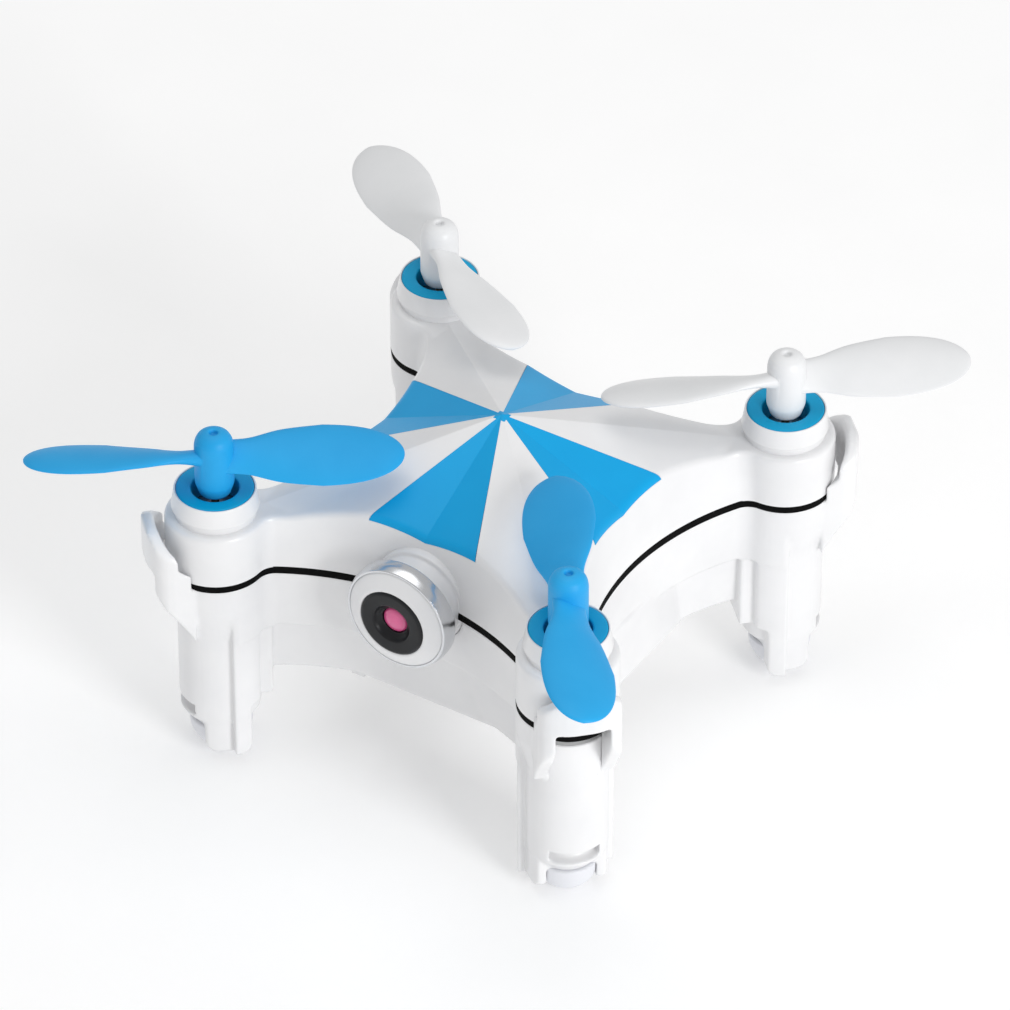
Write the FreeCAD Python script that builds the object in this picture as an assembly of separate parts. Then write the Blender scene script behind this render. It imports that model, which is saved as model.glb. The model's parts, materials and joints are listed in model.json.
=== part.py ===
import FreeCAD, Part
import math
import os

# Mini palm drone: a four-armed moulded body on four legs, each leg holding one
# coreless motor and its two-bladed propeller.
# Millimetres. +Z is up, -Y is the front, where the camera is.
# The origin is on the ground, midway between the four motors.

Vec = FreeCAD.Vector
UP = Vec(0, 0, 1)
ORIGIN = Vec(0, 0, 0)

# Driving dimensions of the airframe
MOTOR_PITCH = 50.0          # spacing of the motor axes, both ways
HALF_PITCH = MOTOR_PITCH / 2
RING_TOP = 39.2             # top of the motor rings above the ground
SEAM = 28.2                 # height of the parting line of the two shells
SEAM_HEIGHT = 0.9           # visible height of the black band in that line
SEAM_INSET = 0.25           # how far the band stands back from the shells
WALL = 1.2                  # wall thickness of both shells
POD_RADIUS = 6.2            # round end of each arm
POD_TOP = 35.7              # flat top of the arm ends, where the collars stand
POD_ROUNDING = 1.0          # rounded outer edge of that top
POD_ROUNDED_ARC = 100.0     # how far round each side, from straight outwards
SIDE_RADIUS = 35.6          # radius of the four concave sides at the seam
SIDE_MIDDLE = 18.4          # distance from the centre to the middle of a side
LEAN_TOP = 0.15             # inward lean of the sides per millimetre above the seam
LEAN_LOW = 0.08             # and per millimetre below it
NECK_FILLET = 2.4           # hollow corner between a side and a pod
CREASE = 19.2               # lower edge of the arm walls
ARM_FLOOR = 11.6            # underside of the arms
ARM_STEP = 1.1              # how far the underside is set back below the crease
BELLY_FLOOR = 10.7          # underside of the belly

# The roof: a star of sixteen flat facets round one apex
APEX = 44.2
VALLEY_SLOPE = 0.448        # fall per millimetre along the middle of a panel
PANEL_CORNER = (7.6, 18.0)  # outer corner of a blue panel, in plan
PANEL_SLOPE = 0.353         # fall along the edge of a panel
RIDGE_SLOPE = 0.290         # fall along the ridge of an arm
ROOF_REACH = 60.0           # how far the facets run before they are trimmed
ROOF_THICKNESS = 1.7
INLAY_DEPTH = 0.6
INLAY_SQUARE = 0.8          # half side of the small square where the panels meet
PANEL_STRETCH = 1.4         # how far past its outer corner a panel's outline is drawn

# Motor collar and ring
COLLAR_TOP_RADIUS = 4.95
COLLAR_BASE_RADIUS = 5.4
COLLAR_BASE = 36.7
COLLAR_ROOT = 1.5           # how deep the collar is rooted in the arm end
NECK_RADIUS = 5.0           # groove under the collar
RING_RADIUS = 4.76
RING_HOLE = 2.9
RING_THICKNESS = 1.2
RING_CHAMFER = 0.2
SKIRT_RADIUS = 3.5

# Coreless motor
MOTOR_RADIUS = 3.5
MOTOR_TOP = 35.9
MOTOR_BOTTOM = 16.5
CAN_WALL = 0.3
BEARING_RADIUS = 1.2
SHAFT_RADIUS = 0.5
SHAFT_CLEARANCE = 0.05
END_CAP_HEIGHT = 1.5
COIL_RADIUS = 2.95
COIL_WALL = 0.45
MAGNET_RADIUS = 2.2
MAGNET_LENGTH = 12.0
CAN_CHAMFER = 0.4
CAN_ROOF = 0.9              # thickness of the bearing plate at the top of the can
BEARING_HEIGHT = 0.5
COIL_GAP = 0.7              # coil below the bearing plate
COIL_RISE = 2.2             # coil above the end cap
COIL_BASE = 0.8

# Leg and foot, measured from the motor axis: u points outwards, t sideways
LEG_RADIUS = 5.0
FLANK_RADIUS = 6.0
LEG_TOP = SEAM - SEAM_HEIGHT / 2
LEG_SHOULDER = 6.4          # where the round front starts to narrow
LEG_TAPER_END = 4.4
LEG_TAPER_RADIUS = 3.4
MOTOR_BORE = 3.6
LED_BORE = 2.4
FLANK_FRONT = -0.6          # step between the round front and the wider flanks
FLANK_REAR = -4.2
RIB_REACH = 6.1
RIB_HALF = 3.2
RIB_FLOOR = 8.6
SKIRT_TOP = 24.4            # where the outside of a pod starts to draw in to its leg
RELIEF_FLOOR = 19.7         # lower end of the channel between the walls of an ear
SLEEVE_WALL = 0.8           # wall round a motor inside the shell
PRONG_IN = 3.1
PRONG_OUT = 4.9
PRONG_FRONT = 2.7
PRONG_REAR = -2.85
PRONG_FLOOR = 1.6
PRONG_CORNER = 1.1
COVER_HALF = 3.1
COVER_TOP = 25.2
COVER_BOTTOM = 8.3
COVER_THICKNESS = 0.8
COVER_GAP = 0.05
SLOT_FLOOR = 6.7            # lower edge of the slot under the cover
SLOT_DEPTH = 1.4
LENS_RADIUS = 3.9
LENS_SINK = 0.12            # how much of the ball is flattened at the ground
LENS_HALF = 3.0
LENS_POCKET = 2.2           # depth of the recess for the diode
LED_RADIUS = 1.5
LED_HEIGHT = 2.8
LED_SLACK = 0.3

# Arched ear on the outside of each pod: a bridge between two side walls
EAR_INNER = 7.4             # inner face of the bridge
EAR_HALF = 5.1
EAR_TOP = 35.4
EAR_ARCH_RADIUS = 5.6
EAR_BRIDGE = 29.8           # underside of the bridge
EAR_SLOT_HALF = 3.35
POD_GAP = 0.15
EAR_PLAN = [                # half of its outline from above: distance out, sideways
    (3.0, 5.1),
    (6.2, 5.1),
    (7.0, 4.95),
    (7.6, 4.6),
    (8.1, 4.0),
    (8.5, 3.2),
    (8.8, 2.2),
    (8.95, 1.1),
]
EAR_SIDE = [                # side wall seen from the side: distance out, height
    (3.6, 30.8),
    (4.3, 31.2),
    (5.2, 32.3),
    (6.5, 33.3),
    (7.1, 34.2),
    (7.5, 35.1),
    (8.0, 35.4),
    (8.4, 35.4),
    (8.8, 35.1),
    (9.0, 34.6),
    (9.2, 34.0),
    (9.2, 31.0),
    (8.75, 28.6),
    (8.1, 26.6),
    (7.3, 25.1),
    (6.2, 23.6),
    (5.2, 22.2),
    (4.2, 20.6),
    (3.6, 19.4),
]

# Propeller
HUB_RADIUS = 2.4
HUB_BOTTOM = 38.6
HUB_SHOULDER = 45.9
HUB_TOP = 47.5
BLADE_HEIGHT = 43.7
BLADE_STATIONS = [          # radius, chord, thickness, pitch in degrees
    (1.2, 3.6, 1.6, 30),
    (4.2, 4.7, 1.3, 27),
    (8.0, 7.3, 1.1, 22),
    (13.0, 9.0, 0.9, 17),
    (17.0, 8.6, 0.8, 14),
    (20.2, 6.8, 0.7, 12),
    (22.2, 3.9, 0.55, 11),
]
BLADE_TIP = 0.55            # reach of the tip beyond the last station
TIP_CHORD = 0.45            # chord and thickness of the tip, as parts of the last ones
TIP_THICKNESS = 0.6
HUB_PROFILE = [             # radius, height
    (0, HUB_BOTTOM),
    (HUB_RADIUS - 0.5, HUB_BOTTOM),
    (HUB_RADIUS, HUB_BOTTOM + 1.6),
    (HUB_RADIUS, HUB_SHOULDER - 0.4),
    (HUB_RADIUS - 0.35, HUB_SHOULDER + 0.6),
    (HUB_RADIUS - 1.1, HUB_TOP - 0.25),
    (0.7, HUB_TOP),
    (0, HUB_TOP),
]
DIMPLE_DEPTH = 0.6

# Camera, its axis along -Y through the seam
CAMERA_HEIGHT = 28.7
COLLAR_RADIUS = 6.3
CHROME_RADIUS = 7.1
BEZEL_RADIUS = 6.6
LENS_DISC_RADIUS = 4.45
CAMERA_BACK = 15.5
COLLAR_FRONT = 21.9
CHROME_BACK = 21.4
CHROME_FRONT = 23.9
LENS_FRONT = 24.8
PUPIL_RADIUS = 1.7
PUPIL_DEPTH = 1.0
MOUNT_BACK = 17.5
MOUNT_RADIUS = 3.2
COLLAR_BORE = 5.4
TRIM = 0.3                  # small bevels of the camera's turned pieces
FACE_STEP = 0.2             # stand-out of the inner rim and of the hollow lens face
CAMERA_BOARD = 7.2          # side of the square sensor board
CAMERA_BOARD_FRONT = 17.4
CAMERA_BOARD_BACK = 16.6

# Belly, battery and electronics
BELLY_HALF_X = 18.2
BELLY_HALF_Y = 16.9
BELLY_FLAT_X = 11.0
BELLY_FLAT_Y = 12.6
BELLY_EDGE = 0.9            # rounding of the lower edge of the belly
BATTERY = (19.0, 27.0, 7.0)
BATTERY_EDGE = 1.4
BATTERY_GAP = 0.3
BATTERY_FLOOR = 11.3
PLUG_SIDE = (-14.2, -10.2)  # extent of the battery plug along X
PLUG_DEPTH = (-4.0, 1.0)    # and along Y
PLUG_HEIGHT = 3.2
PLUG_WIRES = (-2.6, -0.6)   # where its two wires run, along Y
PLUG_WIRE_START = -8.0
DOOR_HALF = 10.0
DOOR_FRONT = -14.6
DOOR_REAR = 13.4
DOOR_BOTTOM = 9.2
DOOR_TONGUE = 0.8
TONGUE_RISE = 0.7           # height of the tongues above the underside of the door
RAIL_WIDTH = 2.2
RAIL_FRONT = 0.9            # rail past the door at the front
RAIL_REAR = 0.6             # and at the rear
GRIP_HALF = 4.0             # finger grooves across the rear of the door
GRIP_WIDTH = 0.7
GRIP_DEPTH = 0.4
GRIPS = (2.0, 3.6, 5.2)
SLIDE_GAP = 0.15
BOARD = (27.0, 25.0, 0.8)
BOARD_Y = 1.5
BOARD_HEIGHT = 25.8
BOARD_CORNER = 3.0
CHIPS = [                   # centre x, centre y, length x, length y, height
    (0.0, 1.5, 7.0, 7.0, 1.1),
    (7.5, -4.0, 4.0, 4.0, 0.9),
    (-8.5, 6.0, 4.0, 4.0, 1.6),
    (-7.5, -5.0, 5.0, 3.0, 0.8),
]
SCREW_INSET = 10.4          # distance of a shell screw inside its motor axis
SCREW_BOSS = 1.7
SCREW_SHANK = 0.7
SCREW_HEAD = 1.4
HEAD_HEIGHT = 1.0
CROSS_HALF = 0.9
CROSS_WIDTH = 0.3
CROSS_DEPTH = 0.5
SCREW_SEAT = 16.0
SCREW_TIP = 33.4
PORT_X = -6.0
PORT = (7.6, 5.4, 2.7)
PORT_FRONT = 12.6
PORT_WALL = 0.35
PORT_BACK = 0.6
TONGUE_SIDE = 1.2           # the tongue in the socket stands clear of its sides
TONGUE_CLEAR = 1.1          # and of its floor and roof
PORT_GAP = 0.2
BUTTON_X = 4.5
BUTTON_Z = 23.4
BUTTON_RADIUS = 1.7
BUTTON_TIP = 19.4
BUTTON_CROWN = 0.4
BUTTON_BACK = 15.7
BUTTON_FLANGE = 2.3
FLANGE_THICKNESS = 0.5
SWITCH_FRONT = 11.6
SWITCH_REAR = 14.6
SWITCH_HALF = 2.0
PLUNGER_RADIUS = 0.8
PLUNGER_LENGTH = 0.4
WIRE_RADIUS = 0.3
LEAD_RISE = 6.2             # where the motor leads turn up, inside the motor axis
LEAD_APART = 0.45           # half the spacing of the two leads of one motor
LEAD_EXIT = 1.6             # where they leave the end cap, inside the motor axis
DUCT_HALF = 0.9
DUCT_MARGIN = 0.5
LEAD_BEND = (9.4, 22.6)     # further bends of the leads: distance inwards, height
LEAD_CLIMB = (12.6, 24.2)
LEAD_END = 22.0
LEAD_BESIDE = (2.02, 2.66)  # how far the two leads pass beside the screw boss

# Name by the drone's own left and right, side signs, rest angle of the blades and
# sense of rotation (1 is counter-clockwise from above)
CORNERS = [
    ("front_right", -1, -1, 34.0, 1),
    ("front_left", 1, -1, 126.5, -1),
    ("rear_left", 1, 1, 42.3, 1),
    ("rear_right", -1, 1, 146.0, -1),
]


def save(shape, name):
    """Write one sub-part."""
    shape.exportStep("parts/" + name + ".step")


def cylinder(radius, low, high, x=0.0, y=0.0):
    return Part.makeCylinder(radius, high - low, Vec(x, y, low), UP)


def tube(outer, inner, low, high, x=0.0, y=0.0):
    return cylinder(outer, low, high, x, y).cut(cylinder(inner, low, high, x, y))


def box(x0, x1, y0, y1, z0, z1):
    return Part.makeBox(x1 - x0, y1 - y0, z1 - z0, Vec(x0, y0, z0))


def prism(points, low, high):
    """Upright prism over a closed plan outline."""
    corners = [Vec(x, y, low) for x, y in points]
    face = Part.Face(Part.makePolygon(corners + corners[:1]))
    return face.extrude(Vec(0, 0, high - low))


def turned(profile):
    """Solid of revolution about Z of a closed (radius, height) outline."""
    corners = [Vec(r, 0, z) for r, z in profile]
    face = Part.Face(Part.makePolygon(corners + corners[:1]))
    return face.revolve(ORIGIN, UP, 360)


def camera_turned(profile):
    """Solid of revolution about the camera axis of a closed (radius, depth) outline."""
    shape = turned(profile)
    shape.rotate(ORIGIN, Vec(1, 0, 0), 90)
    shape.translate(Vec(0, 0, CAMERA_HEIGHT))
    return shape


def fuse(shapes):
    whole = shapes[0].multiFuse(shapes[1:])
    return whole.removeSplitter()


def at_corner(shape, sx, sy):
    """Move a shape from the leg's own frame, where +X points outwards, to a corner."""
    placed = shape.copy()
    placed.rotate(ORIGIN, UP, math.degrees(math.atan2(sy, sx)))
    placed.translate(Vec(sx * HALF_PITCH, sy * HALF_PITCH, 0))
    return placed


def at_corners(shape):
    return [at_corner(shape, sx, sy) for _, sx, sy, _, _ in CORNERS]


def arc(centre, radius, start, end, height):
    """Short-way arc between two directions from a centre, in a level plane."""
    span = (end - start + math.pi) % (2 * math.pi) - math.pi
    angles = [start, start + span / 2, start + span]
    points = [
        Vec(centre[0] + radius * math.cos(a), centre[1] + radius * math.sin(a), height)
        for a in angles
    ]
    return Part.Arc(*points).toShape()


def heading(origin, target):
    return math.atan2(target[1] - origin[1], target[0] - origin[0])


def star_outline(height, middle, side_radius, pod_radius, fillet):
    """Closed outline of the body: four hollow sides, four pods, eight hollow fillets."""
    side_centre = (0.0, middle + side_radius)
    pod = (HALF_PITCH, HALF_PITCH)
    gap = math.dist(side_centre, pod)
    to_fillet = side_radius - fillet
    from_pod = pod_radius + fillet
    along = (to_fillet**2 - from_pod**2 + gap**2) / (2 * gap)
    across = math.sqrt(to_fillet**2 - along**2)
    bearing = heading(side_centre, pod) - math.atan2(across, along)
    blend = (
        side_centre[0] + to_fillet * math.cos(bearing),
        side_centre[1] + to_fillet * math.sin(bearing),
    )
    side_end = heading(side_centre, blend)
    blend_side = side_end
    blend_pod = heading(blend, pod)
    pod_end = heading(pod, blend)
    quarter = math.pi / 2
    edges = []
    for turn in range(4):
        a = -turn * quarter
        cos_a = math.cos(a)
        sin_a = math.sin(a)

        def spun(point):
            x, y = point
            return (x * cos_a - y * sin_a, x * sin_a + y * cos_a)

        mirrored = (-blend[0], blend[1])
        left = math.pi - side_end
        edges.append(arc(spun(mirrored), fillet, math.pi - blend_pod + a, left + a, height))
        edges.append(arc(spun(side_centre), side_radius, left + a, side_end + a, height))
        edges.append(arc(spun(blend), fillet, blend_side + a, blend_pod + a, height))
        pod_far = math.pi / 4
        pod_last = 2 * pod_far - pod_end
        edges.append(arc(spun(pod), pod_radius, pod_end + a, pod_far + a, height))
        edges.append(arc(spun(pod), pod_radius, pod_far + a, pod_last + a, height))
    return Part.Wire(Part.__sortEdges__(edges))


def star_solid(low, high, lean, inset=0.0, pod_inset=None):
    """The body outline carried from one height to another, its sides leaning in.

    The lean is how far in the sides come per millimetre away from the seam.
    """
    pod_radius = POD_RADIUS - (inset if pod_inset is None else pod_inset)
    wires = []
    for height in (low, high):
        shift = lean * abs(height - SEAM)
        wires.append(
            star_outline(
                height,
                SIDE_MIDDLE - inset - shift,
                SIDE_RADIUS + inset - shift,
                pod_radius,
                NECK_FILLET + inset,
            )
        )
    return Part.makeLoft(wires, True, True)


def roof_solid(drop=0.0):
    """Everything under the faceted star roof, lowered by drop."""
    apex = Vec(0, 0, APEX - drop)
    panel_angle = math.atan2(PANEL_CORNER[0], PANEL_CORNER[1])
    rays = []
    for quarter in range(4):
        base = quarter * math.pi / 2
        rays.append((base, VALLEY_SLOPE))
        rays.append((base + panel_angle, PANEL_SLOPE))
        rays.append((base + math.pi / 4, RIDGE_SLOPE))
        rays.append((base + math.pi / 2 - panel_angle, PANEL_SLOPE))
    top = [
        Vec(
            ROOF_REACH * math.sin(a),
            ROOF_REACH * math.cos(a),
            APEX - drop - slope * ROOF_REACH,
        )
        for a, slope in rays
    ]
    floor = 0.0
    bottom = [Vec(p.x, p.y, floor) for p in top]
    count = len(top)
    faces = []
    for i in range(count):
        j = (i + 1) % count
        faces.append(Part.Face(Part.makePolygon([apex, top[i], top[j], apex])))
        wall = [bottom[i], bottom[j], top[j], top[i], bottom[i]]
        faces.append(Part.Face(Part.makePolygon(wall)))
    faces.append(Part.Face(Part.makePolygon(bottom + bottom[:1])))
    pyramid = Part.makeSolid(Part.makeShell(faces))
    reach = ROOF_REACH / 2
    ends = box(-reach, reach, -reach, reach, 0, POD_TOP - drop)
    return pyramid.fuse(ends)


def panel_plan():
    """The four blue panels in plan, joined by a small square under the apex."""
    wedges = [box(-INLAY_SQUARE, INLAY_SQUARE, -INLAY_SQUARE, INLAY_SQUARE, SEAM, APEX)]
    far_x = PANEL_CORNER[0] * PANEL_STRETCH
    far_y = PANEL_CORNER[1] * PANEL_STRETCH
    near_y = INLAY_SQUARE / 4
    near_x = near_y * PANEL_CORNER[0] / PANEL_CORNER[1]
    for quarter in range(4):
        wedge = prism(
            [(-near_x, near_y), (near_x, near_y), (far_x, far_y), (-far_x, far_y)],
            SEAM,
            APEX + 1,
        )
        wedge.rotate(ORIGIN, UP, 90 * quarter)
        wedges.append(wedge)
    return wedges[0].multiFuse(wedges[1:])


def screw_points():
    """Centres of the four shell screws."""
    inward = HALF_PITCH - SCREW_INSET / math.sqrt(2)
    return [(sx * inward, sy * inward) for _, sx, sy, _, _ in CORNERS]


def camera_bore(radius):
    """The round hole that both shells leave for the camera."""
    depth = 12.0
    return Part.makeCylinder(
        radius, depth, Vec(0, -CAMERA_BACK, CAMERA_HEIGHT), Vec(0, -1, 0)
    )


def top_shell():
    low = SEAM + SEAM_HEIGHT / 2
    high = APEX
    outer = star_solid(low, high, LEAN_TOP).common(roof_solid())
    inner = star_solid(low, high, LEAN_TOP, WALL).common(roof_solid(ROOF_THICKNESS))
    body = outer.cut(inner)
    collar = turned(
        [
            (0, POD_TOP - COLLAR_ROOT),
            (NECK_RADIUS, POD_TOP - COLLAR_ROOT),
            (NECK_RADIUS, COLLAR_BASE - 0.1),
            (COLLAR_BASE_RADIUS, COLLAR_BASE),
            (COLLAR_TOP_RADIUS, RING_TOP),
            (0, RING_TOP),
        ]
    )
    edge = POD_ROUNDING
    rounding = turned(
        [
            (POD_RADIUS - edge, POD_TOP),
            (POD_RADIUS - 0.5 * edge, POD_TOP - 0.13 * edge),
            (POD_RADIUS - 0.13 * edge, POD_TOP - 0.5 * edge),
            (POD_RADIUS, POD_TOP - edge),
            (POD_RADIUS + edge, POD_TOP - edge),
            (POD_RADIUS + edge, POD_TOP + edge),
            (POD_RADIUS - edge, POD_TOP + edge),
        ]
    )
    rounding = rounding.common(sector(POD_ROUNDED_ARC, POD_TOP - 2, POD_TOP + 2))
    body = body.cut(fuse(at_corners(rounding))).multiFuse(at_corners(collar))
    bosses = [cylinder(SCREW_BOSS, low, POD_TOP, x, y) for x, y in screw_points()]
    body = body.multiFuse(bosses).common(outer.multiFuse(at_corners(collar)))
    seat = turned(
        [
            (0, low - 1),
            (MOTOR_BORE, low - 1),
            (MOTOR_BORE, RING_TOP - RING_THICKNESS),
            (RING_RADIUS, RING_TOP - RING_THICKNESS),
            (RING_RADIUS, RING_TOP + 1),
            (0, RING_TOP + 1),
        ]
    )
    holes = at_corners(seat)
    holes += [cylinder(SCREW_SHANK, low - 1, SCREW_TIP, x, y) for x, y in screw_points()]
    holes.append(camera_bore(COLLAR_RADIUS))
    recess = panel_plan().cut(roof_solid(INLAY_DEPTH))
    holes.append(recess)
    return body.cut(holes[0].multiFuse(holes[1:])).removeSplitter()


def star_inlay():
    low = SEAM + SEAM_HEIGHT / 2
    outer = star_solid(low, APEX, LEAN_TOP).common(roof_solid())
    panels = panel_plan().cut(roof_solid(INLAY_DEPTH))
    return outer.common(panels).removeSplitter()


def seam_gasket():
    low = SEAM - SEAM_HEIGHT / 2
    high = SEAM + SEAM_HEIGHT / 2
    ring = star_solid(low, high, 0.0, SEAM_INSET).cut(star_solid(low, high, 0.0, WALL))
    return ring.cut(camera_bore(COLLAR_RADIUS)).removeSplitter()


def sector(half_angle, low, high):
    """Wedge opening outwards from the motor axis, to trim rings to an arc."""
    reach = 3 * POD_RADIUS
    steps = [half_angle * k / 4 for k in range(-4, 5)]
    rim = [
        (reach * math.cos(math.radians(a)), reach * math.sin(math.radians(a)))
        for a in steps
    ]
    return prism([(0, 0)] + rim, low, high)


def ear():
    """The arched bracket outside a pod, its side walls running down into the leg."""
    corners = [Vec(u, -EAR_HALF, z) for u, z in EAR_SIDE]
    side = Part.Face(Part.makePolygon(corners + corners[:1]))
    block = side.extrude(Vec(0, 2 * EAR_HALF, 0))
    low = EAR_SIDE[-1][1]
    mirrored = [(u, -t) for u, t in reversed(EAR_PLAN)]
    block = block.common(prism(EAR_PLAN + mirrored, low - 1, EAR_TOP + 1))
    spring = EAR_TOP - EAR_ARCH_RADIUS
    reach = 2 * POD_RADIUS
    arch = Part.makeCylinder(EAR_ARCH_RADIUS, reach, Vec(0, 0, spring), Vec(1, 0, 0))
    walls = box(0, reach, -EAR_HALF, EAR_HALF, low - 1, spring)
    block = block.common(arch.fuse(walls))
    pod = POD_RADIUS + POD_GAP
    clearance = turned(
        [
            (0, SEAM - SEAM_HEIGHT / 2),
            (pod, SEAM - SEAM_HEIGHT / 2),
            (pod, EAR_BRIDGE),
            (EAR_INNER, EAR_BRIDGE + EAR_INNER - pod),
            (EAR_INNER, EAR_TOP + 1),
            (0, EAR_TOP + 1),
        ]
    )
    slot = box(LEG_RADIUS, reach, -EAR_SLOT_HALF, EAR_SLOT_HALF, low - 1, EAR_BRIDGE)
    return block.cut(clearance.fuse(slot))


def prongs():
    """The two fork ends beside a foot lens: a narrow front part, a wider rear part."""
    wide = FLANK_RADIUS + 1
    block = box(PRONG_REAR, PRONG_FRONT, -wide, wide, PRONG_FLOOR, RIB_FLOOR + 0.1)
    low = [
        e
        for e in block.Edges
        if e.BoundBox.ZMax < PRONG_FLOOR + 0.01 and abs(e.tangentAt(0).y) > 0.9
    ]
    block = block.makeFillet(PRONG_CORNER, low)
    front = block.common(cylinder(PRONG_OUT, 0, LEG_SHOULDER + 1))
    behind = box(PRONG_REAR, FLANK_FRONT, -wide, wide, 0, LEG_TOP)
    rear = block.common(cylinder(FLANK_RADIUS, 0, LEG_TOP)).common(behind)
    gap = box(-wide, wide, -PRONG_IN, PRONG_IN, 0, LEG_TAPER_END)
    return front.fuse(rear).cut(gap)


def skirt_taper():
    """What the outside of a pod loses below, where it draws in to the leg."""
    outside = POD_RADIUS + 1
    taper = turned(
        [
            (LEG_RADIUS, CREASE - 1),
            (LEG_RADIUS, CREASE),
            (POD_RADIUS - POD_GAP, SKIRT_TOP - POD_ROUNDING),
            (POD_RADIUS, SKIRT_TOP),
            (outside, SKIRT_TOP),
            (outside, CREASE - 1),
        ]
    )
    return taper.common(sector(POD_ROUNDED_ARC, CREASE - 1, SKIRT_TOP + 1))


def leg():
    """One leg with its flanks, inner rib and fork, before its bores."""
    column = turned(
        [
            (0, LEG_TAPER_END),
            (LEG_TAPER_RADIUS, LEG_TAPER_END),
            (LEG_RADIUS, LEG_SHOULDER),
            (LEG_RADIUS, LEG_TOP),
            (0, LEG_TOP),
        ]
    )
    flanks = cylinder(FLANK_RADIUS, RIB_FLOOR, LEG_TOP)
    wide = FLANK_RADIUS + 1
    flanks = flanks.common(box(FLANK_REAR, FLANK_FRONT, -wide, wide, RIB_FLOOR, LEG_TOP))
    rib = box(-RIB_REACH, 0, -RIB_HALF, RIB_HALF, RIB_FLOOR, LEG_TOP)
    web = box(PRONG_REAR, 0, -RIB_HALF, RIB_HALF, LEG_SHOULDER, LEG_TOP)
    return fuse([column, flanks, rib, web, prongs()])


def cover_blank(thickness, low, high, half):
    """Curved panel on the outside of a leg."""
    shell = tube(LEG_RADIUS, LEG_RADIUS - thickness, low, high)
    return shell.common(box(0, LEG_RADIUS + 1, -half, half, low, high))


def belly_plan(inset):
    """Eight-sided outline of the belly."""
    x = BELLY_HALF_X - inset
    y = BELLY_HALF_Y - inset
    cut = inset * math.tan(math.pi / 8)
    fx = BELLY_FLAT_X - cut
    fy = BELLY_FLAT_Y - cut
    return [(fx, -y), (x, -fy), (x, fy), (fx, y), (-fx, y), (-x, fy), (-x, -fy), (-fx, -y)]


def door_rails():
    """The two undercut rails that hold the battery door."""
    outer = DOOR_HALF + RAIL_WIDTH
    front = DOOR_FRONT - RAIL_FRONT
    rear = DOOR_REAR + RAIL_REAR
    rails = []
    for side in (-1, 1):
        near = DOOR_HALF + SLIDE_GAP
        rail = box(near, outer, front, rear, DOOR_BOTTOM, BELLY_FLOOR)
        groove = box(
            near - 1,
            near + DOOR_TONGUE,
            DOOR_FRONT - SLIDE_GAP,
            rear + 1,
            DOOR_BOTTOM + TONGUE_RISE - SLIDE_GAP,
            BELLY_FLOOR,
        )
        rail = rail.cut(groove)
        if side < 0:
            rail.rotate(ORIGIN, UP, 180)
            rail = rail.mirror(ORIGIN, Vec(0, 1, 0))
        rails.append(rail)
    return rails


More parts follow.
